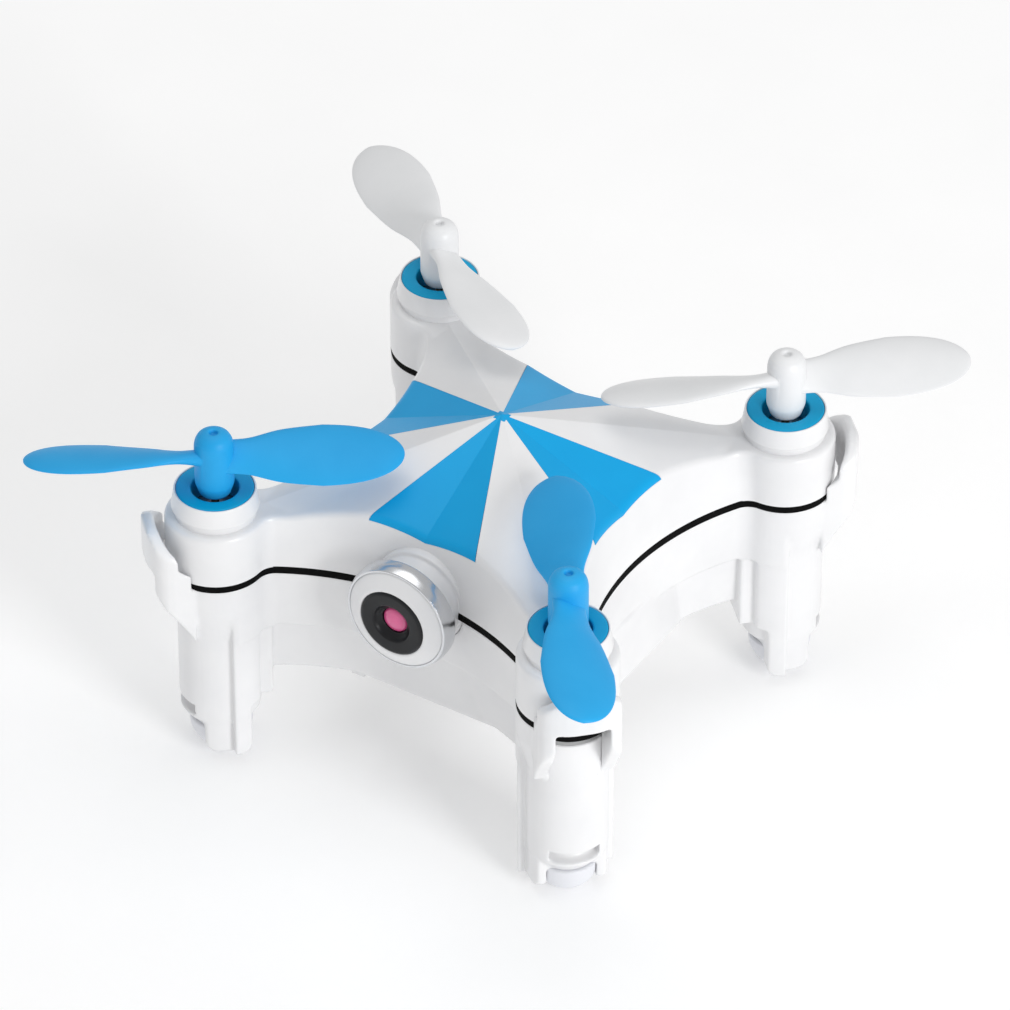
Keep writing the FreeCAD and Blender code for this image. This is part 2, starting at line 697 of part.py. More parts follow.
def lower_shell():
    high = SEAM - SEAM_HEIGHT / 2
    arms = star_solid(CREASE, high, LEAN_LOW).cut(fuse(at_corners(skirt_taper())))
    under = star_solid(ARM_FLOOR, CREASE, LEAN_LOW, ARM_STEP, POD_RADIUS - LEG_RADIUS + POD_GAP)
    belly = prism(belly_plan(0), BELLY_FLOOR, CREASE + 1)
    foot_edges = [e for e in belly.Edges if e.BoundBox.ZMax < BELLY_FLOOR + 0.01]
    belly = belly.makeFillet(BELLY_EDGE, foot_edges)
    solids = [arms, under, belly]
    solids += at_corners(leg())
    solids += at_corners(ear())
    solids += door_rails()
    body = fuse(solids)
    reach = 2 * POD_RADIUS
    relief = box(0, reach, -EAR_SLOT_HALF, EAR_SLOT_HALF, RELIEF_FLOOR, high + 1)
    relief = relief.cut(cylinder(LEG_RADIUS + COVER_GAP, RELIEF_FLOOR - 1, high + 2))
    body = body.cut(fuse(at_corners(relief)))

    room = star_solid(CREASE + WALL, high + 0.01, LEAN_LOW, WALL, WALL)
    bay = prism(belly_plan(WALL), BELLY_FLOOR + WALL, CREASE + WALL + 0.5)
    body = body.cut(room.fuse(bay))
    sleeves = tube(MOTOR_BORE + SLEEVE_WALL, MOTOR_BORE, RIB_FLOOR, high)
    bosses = [cylinder(SCREW_BOSS, SCREW_SEAT - 1, high, x, y) for x, y in screw_points()]
    body = body.multiFuse(at_corners(sleeves) + bosses)

    motor_end = MOTOR_BOTTOM - END_CAP_HEIGHT
    bore = turned(
        [
            (0, LEG_TAPER_END - 1),
            (LED_BORE, LEG_TAPER_END - 1),
            (LED_BORE, motor_end - WALL),
            (MOTOR_BORE, motor_end - WALL),
            (MOTOR_BORE, high + 1),
            (0, high + 1),
        ]
    )
    duct_end = -LEAD_RISE - DUCT_MARGIN
    duct = box(duct_end, -1, -DUCT_HALF, DUCT_HALF, motor_end - SLIDE_GAP, CREASE + 2)
    notch = cover_blank(COVER_THICKNESS, COVER_BOTTOM, LEG_TOP + 1, COVER_HALF)
    low_slot = cover_blank(SLOT_DEPTH, SLOT_FLOOR, COVER_BOTTOM, COVER_HALF)
    cuts = at_corners(bore) + at_corners(duct) + at_corners(notch) + at_corners(low_slot)
    for x, y in screw_points():
        cuts.append(cylinder(SCREW_SHANK, ARM_FLOOR - 1, high + 1, x, y))
        cuts.append(cylinder(SCREW_HEAD + 0.2, ARM_FLOOR - 4, SCREW_SEAT, x, y))
    half_x = BATTERY[0] / 2 + BATTERY_GAP
    half_y = BATTERY[1] / 2 + BATTERY_GAP
    cuts.append(box(-half_x, half_x, -half_y, half_y, BELLY_FLOOR - 1, BELLY_FLOOR + 3))
    cuts.append(camera_bore(COLLAR_RADIUS))
    port_half = PORT[0] / 2 + PORT_GAP
    port_low = BOARD_HEIGHT - PORT[2] - PORT_GAP
    inside = BUTTON_BACK - 1
    outside = SIDE_MIDDLE + 2
    cuts.append(
        box(PORT_X - port_half, PORT_X + port_half, inside, outside, port_low, BOARD_HEIGHT)
    )
    button_hole = Part.makeCylinder(
        BUTTON_RADIUS + 0.1, outside - inside, Vec(BUTTON_X, inside, BUTTON_Z), Vec(0, 1, 0)
    )
    cuts.append(button_hole)
    return body.cut(cuts[0].multiFuse(cuts[1:])).removeSplitter()


def motor_ring():
    return turned(
        [
            (RING_HOLE, MOTOR_TOP),
            (SKIRT_RADIUS, MOTOR_TOP),
            (SKIRT_RADIUS, RING_TOP - RING_THICKNESS),
            (RING_RADIUS, RING_TOP - RING_THICKNESS),
            (RING_RADIUS, RING_TOP - RING_CHAMFER),
            (RING_RADIUS - RING_CHAMFER, RING_TOP),
            (RING_HOLE + RING_CHAMFER, RING_TOP),
            (RING_HOLE, RING_TOP - RING_CHAMFER),
        ]
    )


def motor_can():
    inside = MOTOR_RADIUS - CAN_WALL
    journal = SHAFT_RADIUS + SHAFT_CLEARANCE
    return turned(
        [
            (inside, MOTOR_BOTTOM),
            (MOTOR_RADIUS, MOTOR_BOTTOM),
            (MOTOR_RADIUS, MOTOR_TOP - CAN_CHAMFER),
            (MOTOR_RADIUS - CAN_CHAMFER, MOTOR_TOP),
            (BEARING_RADIUS, MOTOR_TOP),
            (BEARING_RADIUS, MOTOR_TOP + BEARING_HEIGHT),
            (journal, MOTOR_TOP + BEARING_HEIGHT),
            (journal, MOTOR_TOP - CAN_ROOF),
            (inside, MOTOR_TOP - CAN_ROOF),
        ]
    )


def motor_magnet():
    top = MOTOR_TOP - CAN_ROOF
    return tube(MAGNET_RADIUS, SHAFT_RADIUS + 0.2, top - MAGNET_LENGTH, top)


def motor_rotor():
    """Shaft with the coil basket that runs between magnet and can."""
    top = MOTOR_TOP - CAN_ROOF - COIL_GAP
    bottom = MOTOR_BOTTOM + COIL_RISE
    return turned(
        [
            (0, MOTOR_BOTTOM + CAN_WALL),
            (SHAFT_RADIUS, MOTOR_BOTTOM + CAN_WALL),
            (SHAFT_RADIUS, bottom),
            (COIL_RADIUS, bottom),
            (COIL_RADIUS, top),
            (COIL_RADIUS - COIL_WALL, top),
            (COIL_RADIUS - COIL_WALL, bottom + COIL_BASE),
            (SHAFT_RADIUS, bottom + COIL_BASE),
            (SHAFT_RADIUS, HUB_SHOULDER),
            (0, HUB_SHOULDER),
        ]
    )


def motor_end_cap():
    low = MOTOR_BOTTOM - END_CAP_HEIGHT
    cap = cylinder(MOTOR_RADIUS, low, MOTOR_BOTTOM)
    half = 2 * WIRE_RADIUS + LEAD_APART
    notch = box(-MOTOR_RADIUS - 1, -half, -half, half, low - 1, low + 2 * LEAD_APART)
    return cap.cut(notch)


def blade_section(radius, chord, thickness, pitch):
    """Closed lens-shaped section of a blade, standing across the span."""
    section = Part.Ellipse(ORIGIN, chord / 2, thickness / 2).toShape()
    wire = Part.Wire([section])
    wire.rotate(ORIGIN, Vec(1, 0, 0), 90)
    wire.rotate(ORIGIN, UP, 90)
    wire.rotate(ORIGIN, Vec(1, 0, 0), pitch)
    wire.translate(Vec(radius, 0, BLADE_HEIGHT))
    return wire


def propeller(rest_angle, sense):
    """Two-bladed propeller; sense is 1 when it turns counter-clockwise from above."""
    sections = [blade_section(*station) for station in BLADE_STATIONS]
    radius, chord, thickness, pitch = BLADE_STATIONS[-1]
    end = blade_section(
        radius + BLADE_TIP, chord * TIP_CHORD, thickness * TIP_THICKNESS, pitch
    )
    sections.append(end)
    blade = Part.makeLoft(sections, True, False)
    other = blade.copy()
    other.rotate(ORIGIN, UP, 180)
    hub = turned(HUB_PROFILE)
    whole = fuse([hub, blade, other])
    whole = whole.cut(cylinder(SHAFT_RADIUS, HUB_BOTTOM - 1, HUB_SHOULDER))
    dimple = cylinder(SHAFT_RADIUS, HUB_TOP - DIMPLE_DEPTH, HUB_TOP + 1)
    whole = whole.cut(dimple)
    if sense < 0:
        whole = whole.mirror(ORIGIN, Vec(0, 1, 0))
    whole.rotate(ORIGIN, UP, rest_angle)
    return whole


def leg_cover():
    blank = cover_blank(COVER_THICKNESS, COVER_BOTTOM, COVER_TOP, COVER_HALF - COVER_GAP)
    return blank.cut(cylinder(LEG_RADIUS - COVER_THICKNESS + COVER_GAP, 0, LEG_TOP))


def foot_lens():
    """Frosted ball under a leg, flattened where it meets the ground."""
    centre = Vec(0, 0, LENS_RADIUS - LENS_SINK)
    ball = Part.makeSphere(LENS_RADIUS, centre)
    neck = cylinder(LENS_RADIUS, centre.z, LEG_TAPER_END)
    body = ball.fuse(neck).common(
        box(-LENS_RADIUS, LENS_RADIUS, -LENS_HALF, LENS_HALF, 0, LEG_TAPER_END)
    )
    spigot = cylinder(LED_BORE - COVER_GAP, LEG_TAPER_END, LEG_TAPER_END + 1)
    pocket = cylinder(LED_RADIUS + COVER_GAP, LEG_TAPER_END - LENS_POCKET, LEG_TAPER_END + 2)
    return body.fuse(spigot).cut(pocket)


def led():
    """Small light-emitting diode in the foot."""
    low = LEG_TAPER_END - LENS_POCKET + LED_RADIUS + LED_SLACK
    body = cylinder(LED_RADIUS, low, low + LED_HEIGHT)
    return fuse([body, Part.makeSphere(LED_RADIUS, Vec(0, 0, low))])


def wire_run(points, radius):
    """Round wire along straight runs, with a ball at every bend."""
    pieces = []
    for start, end in zip(points, points[1:]):
        a = Vec(*start)
        run = Vec(*end).sub(a)
        pieces.append(Part.makeCylinder(radius, run.Length, a, run))
    for point in points[1:-1]:
        pieces.append(Part.makeSphere(radius, Vec(*point)))
    return pieces[0].multiFuse(pieces[1:])


def motor_leads():
    """The two leads of one motor, from its end cap up beside the screw boss to the board."""
    level = MOTOR_BOTTOM - END_CAP_HEIGHT + LEAD_APART
    leads = []
    for near, beside in zip((-LEAD_APART, LEAD_APART), LEAD_BESIDE):
        route = [
            (-LEAD_EXIT, near, level),
            (-LEAD_RISE, near, level),
            (-LEAD_RISE, near, LEAD_BEND[1] - 1),
            (-LEAD_BEND[0], beside, LEAD_BEND[1]),
            (-LEAD_CLIMB[0], beside, LEAD_CLIMB[1]),
            (-LEAD_END, beside, BOARD_HEIGHT - WIRE_RADIUS),
        ]
        leads.append(wire_run(route, WIRE_RADIUS))
    return leads


def screw(x, y):
    """Pan-head screw driven up from below."""
    low = SCREW_SEAT - HEAD_HEIGHT
    head = cylinder(SCREW_HEAD, low, SCREW_SEAT, x, y)
    shank = cylinder(SCREW_SHANK, SCREW_SEAT, SCREW_TIP - DUCT_MARGIN, x, y)
    half = CROSS_WIDTH / 2
    deep = low + CROSS_DEPTH
    across = box(x - CROSS_HALF, x + CROSS_HALF, y - half, y + half, low - 1, deep)
    along = box(x - half, x + half, y - CROSS_HALF, y + CROSS_HALF, low - 1, deep)
    return head.fuse(shank).cut(across.fuse(along))


def battery_door():
    """Sliding cover under the belly, with finger ribs at its rear."""
    top = BELLY_FLOOR - SLIDE_GAP
    plate = box(-DOOR_HALF, DOOR_HALF, DOOR_FRONT, DOOR_REAR, DOOR_BOTTOM, top)
    reach = DOOR_HALF + DOOR_TONGUE
    tongue = box(-reach, reach, DOOR_FRONT, DOOR_REAR, DOOR_BOTTOM + TONGUE_RISE, top)
    door = plate.fuse(tongue)
    grooves = [
        box(
            -GRIP_HALF,
            GRIP_HALF,
            DOOR_REAR - y,
            DOOR_REAR - y + GRIP_WIDTH,
            DOOR_BOTTOM - 1,
            DOOR_BOTTOM + GRIP_DEPTH,
        )
        for y in GRIPS
    ]
    return door.cut(grooves[0].multiFuse(grooves[1:])).removeSplitter()


def main_board():
    half_x = BOARD[0] / 2
    half_y = BOARD[1] / 2
    low = BOARD_HEIGHT
    cut = BOARD_CORNER
    plan = [
        (half_x, -half_y + cut),
        (half_x, half_y - cut),
        (half_x - cut, half_y),
        (-half_x + cut, half_y),
        (-half_x, half_y - cut),
        (-half_x, -half_y + cut),
        (-half_x + cut, -half_y),
        (half_x - cut, -half_y),
    ]
    board = prism(plan, low, low + BOARD[2])
    board.translate(Vec(0, BOARD_Y, 0))
    return board


def board_chips():
    top = BOARD_HEIGHT + BOARD[2]
    return [
        box(x - dx / 2, x + dx / 2, y - dy / 2, y + dy / 2, top, top + height)
        for x, y, dx, dy, height in CHIPS
    ]


def usb_socket():
    """Charging socket under the rear edge of the board."""
    half = PORT[0] / 2
    rear = PORT_FRONT + PORT[1]
    high = BOARD_HEIGHT
    low = high - PORT[2]
    shell = box(PORT_X - half, PORT_X + half, PORT_FRONT, rear, low, high)
    mouth_half = half - PORT_WALL
    mouth = box(
        PORT_X - mouth_half,
        PORT_X + mouth_half,
        PORT_FRONT + PORT_BACK,
        rear + 1,
        low + PORT_WALL,
        high - PORT_WALL,
    )
    tongue_half = half - TONGUE_SIDE
    tongue = box(
        PORT_X - tongue_half,
        PORT_X + tongue_half,
        PORT_FRONT,
        rear - PORT_BACK,
        low + TONGUE_CLEAR,
        high - TONGUE_CLEAR,
    )
    return shell.cut(mouth).fuse(tongue)


def power_button():
    axis = Vec(0, 1, 0)
    back = Vec(BUTTON_X, BUTTON_BACK, BUTTON_Z)
    stem = Part.makeCylinder(BUTTON_RADIUS, BUTTON_TIP - BUTTON_BACK, back, axis)
    crown = [edge for edge in stem.Edges if edge.BoundBox.YMin > BUTTON_TIP - 0.01]
    stem = stem.makeFillet(BUTTON_CROWN, crown)
    flange = Part.makeCylinder(BUTTON_FLANGE, FLANGE_THICKNESS, back, axis)
    return stem.fuse(flange).removeSplitter()


def power_switch():
    """Tactile switch behind the button, hanging from the board."""
    left = BUTTON_X - SWITCH_HALF
    right = BUTTON_X + SWITCH_HALF
    low = BUTTON_Z - SWITCH_HALF
    body = box(left, right, SWITCH_FRONT, SWITCH_REAR, low, BOARD_HEIGHT)
    plunger = Part.makeCylinder(
        PLUNGER_RADIUS, PLUNGER_LENGTH, Vec(BUTTON_X, SWITCH_REAR, BUTTON_Z), Vec(0, 1, 0)
    )
    return body.fuse(plunger)


def battery():
    cell = box(
        -BATTERY[0] / 2,
        BATTERY[0] / 2,
        -BATTERY[1] / 2,
        BATTERY[1] / 2,
        BATTERY_FLOOR,
        BATTERY_FLOOR + BATTERY[2],
    )
    return cell.makeFillet(BATTERY_EDGE, [e for e in cell.Edges if abs(e.tangentAt(0).y) > 0.9])


def battery_plug():
    """Two-pin plug and its leads, between the cell and the board."""
    low = BOARD_HEIGHT - PLUG_HEIGHT
    plug = box(*PLUG_SIDE, *PLUG_DEPTH, low, BOARD_HEIGHT)
    middle = sum(PLUG_SIDE) / 2
    cell = battery()
    cell_top = BATTERY_FLOOR + BATTERY[2]
    wires = []
    for y in PLUG_WIRES:
        run = wire_run([(PLUG_WIRE_START, y, cell_top - 1), (middle, y, low)], WIRE_RADIUS)
        wires.append(run.cut(cell))
    return plug.multiFuse(wires)


def camera_parts():
    """The camera's pieces, each as (name, solid); depth counts forwards from the centre."""
    collar = [
        (COLLAR_BORE, CAMERA_BACK + SLIDE_GAP),
        (COLLAR_RADIUS, CAMERA_BACK + SLIDE_GAP),
        (COLLAR_RADIUS, COLLAR_FRONT - TRIM),
        (COLLAR_RADIUS - TRIM, COLLAR_FRONT),
        (COLLAR_BORE, COLLAR_FRONT),
    ]
    chrome = [
        (BEZEL_RADIUS, CHROME_BACK),
        (CHROME_RADIUS, CHROME_BACK),
        (CHROME_RADIUS, CHROME_FRONT - TRIM),
        (CHROME_RADIUS - TRIM, CHROME_FRONT),
        (BEZEL_RADIUS, CHROME_FRONT),
    ]
    face = CHROME_FRONT + FACE_STEP
    bezel = [
        (LENS_DISC_RADIUS, COLLAR_FRONT),
        (BEZEL_RADIUS, COLLAR_FRONT),
        (BEZEL_RADIUS, CHROME_FRONT),
        ((LENS_DISC_RADIUS + BEZEL_RADIUS) / 2, face),
        (LENS_DISC_RADIUS, CHROME_FRONT),
    ]
    disc = [
        (0, MOUNT_BACK),
        (MOUNT_RADIUS, MOUNT_BACK),
        (MOUNT_RADIUS, COLLAR_FRONT),
        (LENS_DISC_RADIUS, COLLAR_FRONT),
        (LENS_DISC_RADIUS, face),
        (LENS_DISC_RADIUS - 2 * TRIM, LENS_FRONT),
        (LENS_DISC_RADIUS - 4 * TRIM, LENS_FRONT),
        (PUPIL_RADIUS + TRIM, face),
        (PUPIL_RADIUS, face),
        (PUPIL_RADIUS, CHROME_FRONT - PUPIL_DEPTH),
        (0, CHROME_FRONT - PUPIL_DEPTH),
    ]
    pupil = [
        (0, CHROME_FRONT - PUPIL_DEPTH),
        (PUPIL_RADIUS, CHROME_FRONT - PUPIL_DEPTH),
        (PUPIL_RADIUS, CHROME_FRONT - TRIM),
        (PUPIL_RADIUS * 0.7, CHROME_FRONT + TRIM / 3),
        (PUPIL_RADIUS * 0.3, CHROME_FRONT + TRIM),
        (0, CHROME_FRONT + TRIM),
    ]
    half = CAMERA_BOARD / 2
    low = CAMERA_HEIGHT - half
    board = box(-half, half, -CAMERA_BOARD_FRONT, -CAMERA_BOARD_BACK, low, low + 2 * half)
    return [
        ("camera_collar", camera_turned(collar)),
        ("camera_chrome_ring", camera_turned(chrome)),
        ("camera_bezel", camera_turned(bezel)),
        ("camera_lens_mount", camera_turned(disc)),
        ("camera_lens", camera_turned(pupil)),
        ("camera_board", board),
    ]


os.makedirs("parts", exist_ok=True)

save(top_shell(), "top_shell")
save(star_inlay(), "star_inlay")
save(seam_gasket(), "seam_gasket")
save(lower_shell(), "lower_shell")
save(battery_door(), "battery_door")
save(battery(), "battery")
save(battery_plug(), "battery_plug")
save(main_board(), "main_board")
save(Part.makeCompound(board_chips()), "board_chips")
save(usb_socket(), "usb_socket")
save(power_button(), "power_button")
save(power_switch(), "power_switch")
save(Part.makeCompound([screw(x, y) for x, y in screw_points()]), "shell_screws")
save(Part.makeCompound(at_corners(led())), "foot_leds")
save(Part.makeCompound(at_corners(motor_magnet())), "motor_magnets")
all_leads = [lead for pair in motor_leads() for lead in at_corners(pair)]
save(Part.makeCompound(all_leads), "motor_leads")
for part_name, solid in camera_parts():
    save(solid, part_name)
for corner, side_x, side_y, angle, spin in CORNERS:
    save(at_corner(motor_ring(), side_x, side_y), "motor_ring_" + corner)
    save(at_corner(motor_can(), side_x, side_y), "motor_can_" + corner)
    save(at_corner(motor_rotor(), side_x, side_y), "motor_rotor_" + corner)
    save(at_corner(motor_end_cap(), side_x, side_y), "motor_end_cap_" + corner)
    save(at_corner(leg_cover(), side_x, side_y), "leg_cover_" + corner)
    save(at_corner(foot_lens(), side_x, side_y), "foot_lens_" + corner)
    blades = propeller(angle, spin)
    blades.translate(Vec(side_x * HALF_PITCH, side_y * HALF_PITCH, 0))
    save(blades, "propeller_" + corner)
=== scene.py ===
import json
import math

import bmesh
import bpy
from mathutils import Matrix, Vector
from mathutils.geometry import delaunay_2d_cdt


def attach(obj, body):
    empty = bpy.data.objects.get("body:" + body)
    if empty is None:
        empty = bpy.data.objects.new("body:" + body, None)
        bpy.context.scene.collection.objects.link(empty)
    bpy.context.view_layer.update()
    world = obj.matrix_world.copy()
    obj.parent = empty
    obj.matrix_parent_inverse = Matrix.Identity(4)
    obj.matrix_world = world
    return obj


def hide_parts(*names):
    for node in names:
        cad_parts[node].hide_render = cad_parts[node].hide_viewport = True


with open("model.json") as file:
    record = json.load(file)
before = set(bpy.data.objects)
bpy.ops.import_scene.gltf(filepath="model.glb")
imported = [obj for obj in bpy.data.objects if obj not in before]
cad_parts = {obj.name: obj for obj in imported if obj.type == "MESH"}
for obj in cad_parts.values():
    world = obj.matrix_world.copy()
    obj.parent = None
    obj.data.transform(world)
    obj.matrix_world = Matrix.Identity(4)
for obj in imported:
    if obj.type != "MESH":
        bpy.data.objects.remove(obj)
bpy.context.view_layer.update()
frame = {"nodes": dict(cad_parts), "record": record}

MM = 0.001
CORNERS = {
    "front_right": (-1, -1),
    "front_left": (1, -1),
    "rear_left": (1, 1),
    "rear_right": (-1, 1),
}


# ---------------------------------------------------------------- materials


def new_material(name):
    """A material with one Principled shader, and its node tree."""
    material = bpy.data.materials.new(name)
    material.use_nodes = True
    tree = material.node_tree
    return material, tree, tree.nodes["Principled BSDF"]


def add_noise(tree, scale, detail=3.0, roughness=0.5):
    """Noise over the object's own coordinates; scale is in features per metre."""
    place = tree.nodes.new("ShaderNodeTexCoord")
    noise = tree.nodes.new("ShaderNodeTexNoise")
    noise.inputs["Scale"].default_value = scale
    noise.inputs["Detail"].default_value = detail
    noise.inputs["Roughness"].default_value = roughness
    tree.links.new(place.outputs["Object"], noise.inputs["Vector"])
    return noise


def ramp(tree, source, stops):
    """Colour ramp from a factor; stops are (position, colour)."""
    node = tree.nodes.new("ShaderNodeValToRGB")
    node.color_ramp.elements[0].position = stops[0][0]
    node.color_ramp.elements[0].color = (*stops[0][1], 1)
    node.color_ramp.elements[1].position = stops[-1][0]
    node.color_ramp.elements[1].color = (*stops[-1][1], 1)
    for position, colour in stops[1:-1]:
        node.color_ramp.elements.new(position).color = (*colour, 1)
    tree.links.new(source, node.inputs["Fac"])
    return node.outputs["Color"]


def spread(tree, source, low, high):
    """Maps a 0 to 1 factor to a range."""
    node = tree.nodes.new("ShaderNodeMapRange")
    node.inputs["To Min"].default_value = low
    node.inputs["To Max"].default_value = high
    tree.links.new(source, node.inputs["Value"])
    return node.outputs["Result"]


def add_bump(tree, shader, source, distance, strength=0.3):
    bump = tree.nodes.new("ShaderNodeBump")
    bump.inputs["Strength"].default_value = strength
    bump.inputs["Distance"].default_value = distance
    tree.links.new(source, bump.inputs["Height"])
    tree.links.new(bump.outputs["Normal"], shader.inputs["Normal"])


def moulded_plastic(name, dark, light, rough_low, rough_high, grain=2500, bump=0.00001,
                    coat=0.0, gloss=0.5):
    """Injection-moulded plastic: faint flow marks in its colour, a fine skin in its gloss."""
    material, tree, shader = new_material(name)
    flow = add_noise(tree, 90, 4.0, 0.55)
    tree.links.new(ramp(tree, flow.outputs["Fac"], [(0.3, dark), (0.7, light)]),
                   shader.inputs["Base Color"])
    skin = add_noise(tree, grain, 4.0, 0.6)
    tree.links.new(spread(tree, skin.outputs["Fac"], rough_low, rough_high),
                   shader.inputs["Roughness"])
    add_bump(tree, shader, skin.outputs["Fac"], bump)
    shader.inputs["IOR"].default_value = 1.5
    shader.inputs["Coat Weight"].default_value = coat
    shader.inputs["Coat Roughness"].default_value = 0.12
    shader.inputs["Specular IOR Level"].default_value = gloss
    return material


def metal(name, dark, light, rough_low, rough_high, grain=3000, bump=0.000005):
    material = moulded_plastic(name, dark, light, rough_low, rough_high, grain, bump)
    shader = material.node_tree.nodes["Principled BSDF"]
    shader.inputs["Metallic"].default_value = 1.0
    return material


MATERIALS = {
    "white_shell": moulded_plastic("white_shell", (0.80, 0.80, 0.81), (0.86, 0.86, 0.865),
                                   0.26, 0.36, coat=0.25),
    "blue_panel": moulded_plastic("blue_panel", (0.002, 0.35, 0.72), (0.003, 0.38, 0.76),
                                  0.3, 0.4, gloss=0.22),
    "blue_ring": moulded_plastic("blue_ring", (0.002, 0.34, 0.62), (0.003, 0.37, 0.66),
                                 0.3, 0.42, gloss=0.2),
    "black_band": moulded_plastic("black_band", (0.001, 0.001, 0.001), (0.003, 0.003, 0.003),
                                  0.75, 0.9, gloss=0.1),
    "chrome_trim": metal("chrome_trim", (0.66, 0.67, 0.69), (0.74, 0.75, 0.77), 0.2, 0.28),
    "lens_black": moulded_plastic("lens_black", (0.006, 0.0065, 0.008),
                                  (0.011, 0.012, 0.014), 0.3, 0.42, gloss=0.3),
    "lens_pink": moulded_plastic("lens_pink", (0.72, 0.08, 0.26), (0.84, 0.13, 0.34),
                                 0.08, 0.14, coat=0.6),
    "blue_blade": moulded_plastic("blue_blade", (0.012, 0.36, 0.76), (0.02, 0.40, 0.81),
                                  0.4, 0.55, grain=5000, bump=0.00003, gloss=0.3),
    "white_blade": moulded_plastic("white_blade", (0.78, 0.79, 0.80), (0.84, 0.845, 0.855),
                                   0.34, 0.46, grain=5000),
    "frosted_lens": moulded_plastic("frosted_lens", (0.74, 0.75, 0.79), (0.80, 0.81, 0.85),
                                    0.32, 0.45),
    "motor_steel": metal("motor_steel", (0.45, 0.45, 0.46), (0.58, 0.58, 0.59), 0.25, 0.4),
    "motor_copper": metal("motor_copper", (0.50, 0.22, 0.10), (0.62, 0.30, 0.15), 0.3, 0.45),
    "magnet": metal("magnet", (0.16, 0.16, 0.17), (0.24, 0.24, 0.25), 0.4, 0.55),
    "white_nylon": moulded_plastic("white_nylon", (0.68, 0.68, 0.66), (0.74, 0.74, 0.72),
                                   0.45, 0.6),
    "circuit_board": moulded_plastic("circuit_board", (0.012, 0.12, 0.06),
                                     (0.02, 0.16, 0.08), 0.3, 0.45),
    "chip_black": moulded_plastic("chip_black", (0.012, 0.012, 0.012), (0.02, 0.02, 0.02),
                                  0.45, 0.6),
    "battery_foil": metal("battery_foil", (0.55, 0.56, 0.58), (0.66, 0.67, 0.69), 0.25, 0.4),
    "plated_steel": metal("plated_steel", (0.50, 0.50, 0.50), (0.62, 0.62, 0.62), 0.2, 0.32),
    "led_clear": moulded_plastic("led_clear", (0.70, 0.76, 0.80), (0.76, 0.82, 0.86),
                                 0.08, 0.16),
    "wire_sheath": moulded_plastic("wire_sheath", (0.42, 0.02, 0.02), (0.50, 0.03, 0.03),
                                   0.4, 0.5),
}


def dress_cad_nodes():
    """Gives every carried-over CAD node the material of its slot."""
    slots = {s["node"]: s["material_slot"] for s in frame["record"]["subparts"]}
    for name, node in frame["nodes"].items():
        node.data.materials.clear()
        node.data.materials.append(MATERIALS[slots[name]])


# ---------------------------------------------------------------- mesh helpers


def new_piece(name, mesh, body, slot, nodes=(), material=None):
    """Links a mesh as a piece that rides on a body and stands for CAD nodes."""
    piece = bpy.data.objects.new(name, mesh)
    bpy.context.scene.collection.objects.link(piece)
    mesh.materials.append(MATERIALS[material or slot])
    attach(piece, body)
    if nodes:
        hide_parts(*nodes)
    return piece


def mesh_from(name, points, faces):
    """Mesh from points in millimetres."""
    mesh = bpy.data.meshes.new(name)
    mesh.from_pydata([(x * MM, y * MM, z * MM) for x, y, z in points], [], faces)
    mesh.update()
    return mesh


def smooth(mesh, angle=35.0):
    """Smooth shading with sharp edges where faces meet at more than the angle."""
    mesh.polygons.foreach_set("use_smooth", [True] * len(mesh.polygons))
    mesh.set_sharp_from_angle(angle=math.radians(angle))


def clean(mesh, merge=0.0005):
    """Merges doubled points and turns all faces outwards."""
    work = bmesh.new()
    work.from_mesh(mesh)
    bmesh.ops.remove_doubles(work, verts=work.verts, dist=merge * MM)
    bmesh.ops.dissolve_degenerate(work, edges=work.edges, dist=merge * MM)
    bmesh.ops.recalc_face_normals(work, faces=work.faces)
    work.to_mesh(mesh)
    work.free()


def lathe(profile, segments=72):
    """Points and faces of a closed (radius, height) outline turned about Z."""
    points = []
    faces = []
    rows = []
    for radius, height in profile:
        if radius < 1e-6:
            rows.append([len(points)] * segments)
            points.append((0.0, 0.0, height))
            continue
        rows.append(list(range(len(points), len(points) + segments)))
        for k in range(segments):
            a = 2 * math.pi * k / segments
            points.append((radius * math.cos(a), radius * math.sin(a), height))
    count = len(rows)
    for i in range(count):
        upper = rows[(i + 1) % count]
        lower = rows[i]
        for k in range(segments):
            j = (k + 1) % segments
            face = [lower[k], lower[j], upper[j], upper[k]]
            face = [v for n, v in enumerate(face) if v != face[n - 1]]
            if len(face) > 2:
                faces.append(face)
    return points, faces


def rounded(profile, radius, steps=4):
    """A closed outline with every corner rounded, as far as its sides allow."""
    result = []
    count = len(profile)
    for i, point in enumerate(profile):
        before = profile[i - 1]
        after = profile[(i + 1) % count]
        if point[0] < 1e-6:
            result.append(point)
            continue
        reach = min(radius, math.dist(point, before) * 0.45, math.dist(point, after) * 0.45)
        start = [p + (b - p) * reach / math.dist(point, before) for p, b in zip(point, before)]
        end = [p + (b - p) * reach / math.dist(point, after) for p, b in zip(point, after)]
        for k in range(steps + 1):
            t = k / steps
            result.append(tuple(
                (1 - t) ** 2 * s + 2 * t * (1 - t) * p + t * t * e
                for s, p, e in zip(start, point, end)
            ))
    return result


def placed(points, sx, sy, turn=0.0):
    """Points moved from the motor axis to a corner, turned about that axis first."""
    cos_a, sin_a = math.cos(turn), math.sin(turn)
    return [
        (sx * 25 + x * cos_a - y * sin_a, sy * 25 + x * sin_a + y * cos_a, z)
        for x, y, z in points
    ]


def facing_front(points):
    """Points of a camera piece, turned from +Z to the camera's axis along -Y."""
    return [(x, -z, y + CAMERA_HEIGHT) for x, y, z in points]


def join(parts):
    """One list of points and faces out of several."""
    points, faces = [], []
    for part_points, part_faces in parts:
        shift = len(points)
        points += part_points
        faces += [[v + shift for v in face] for face in part_faces]
    return points, faces


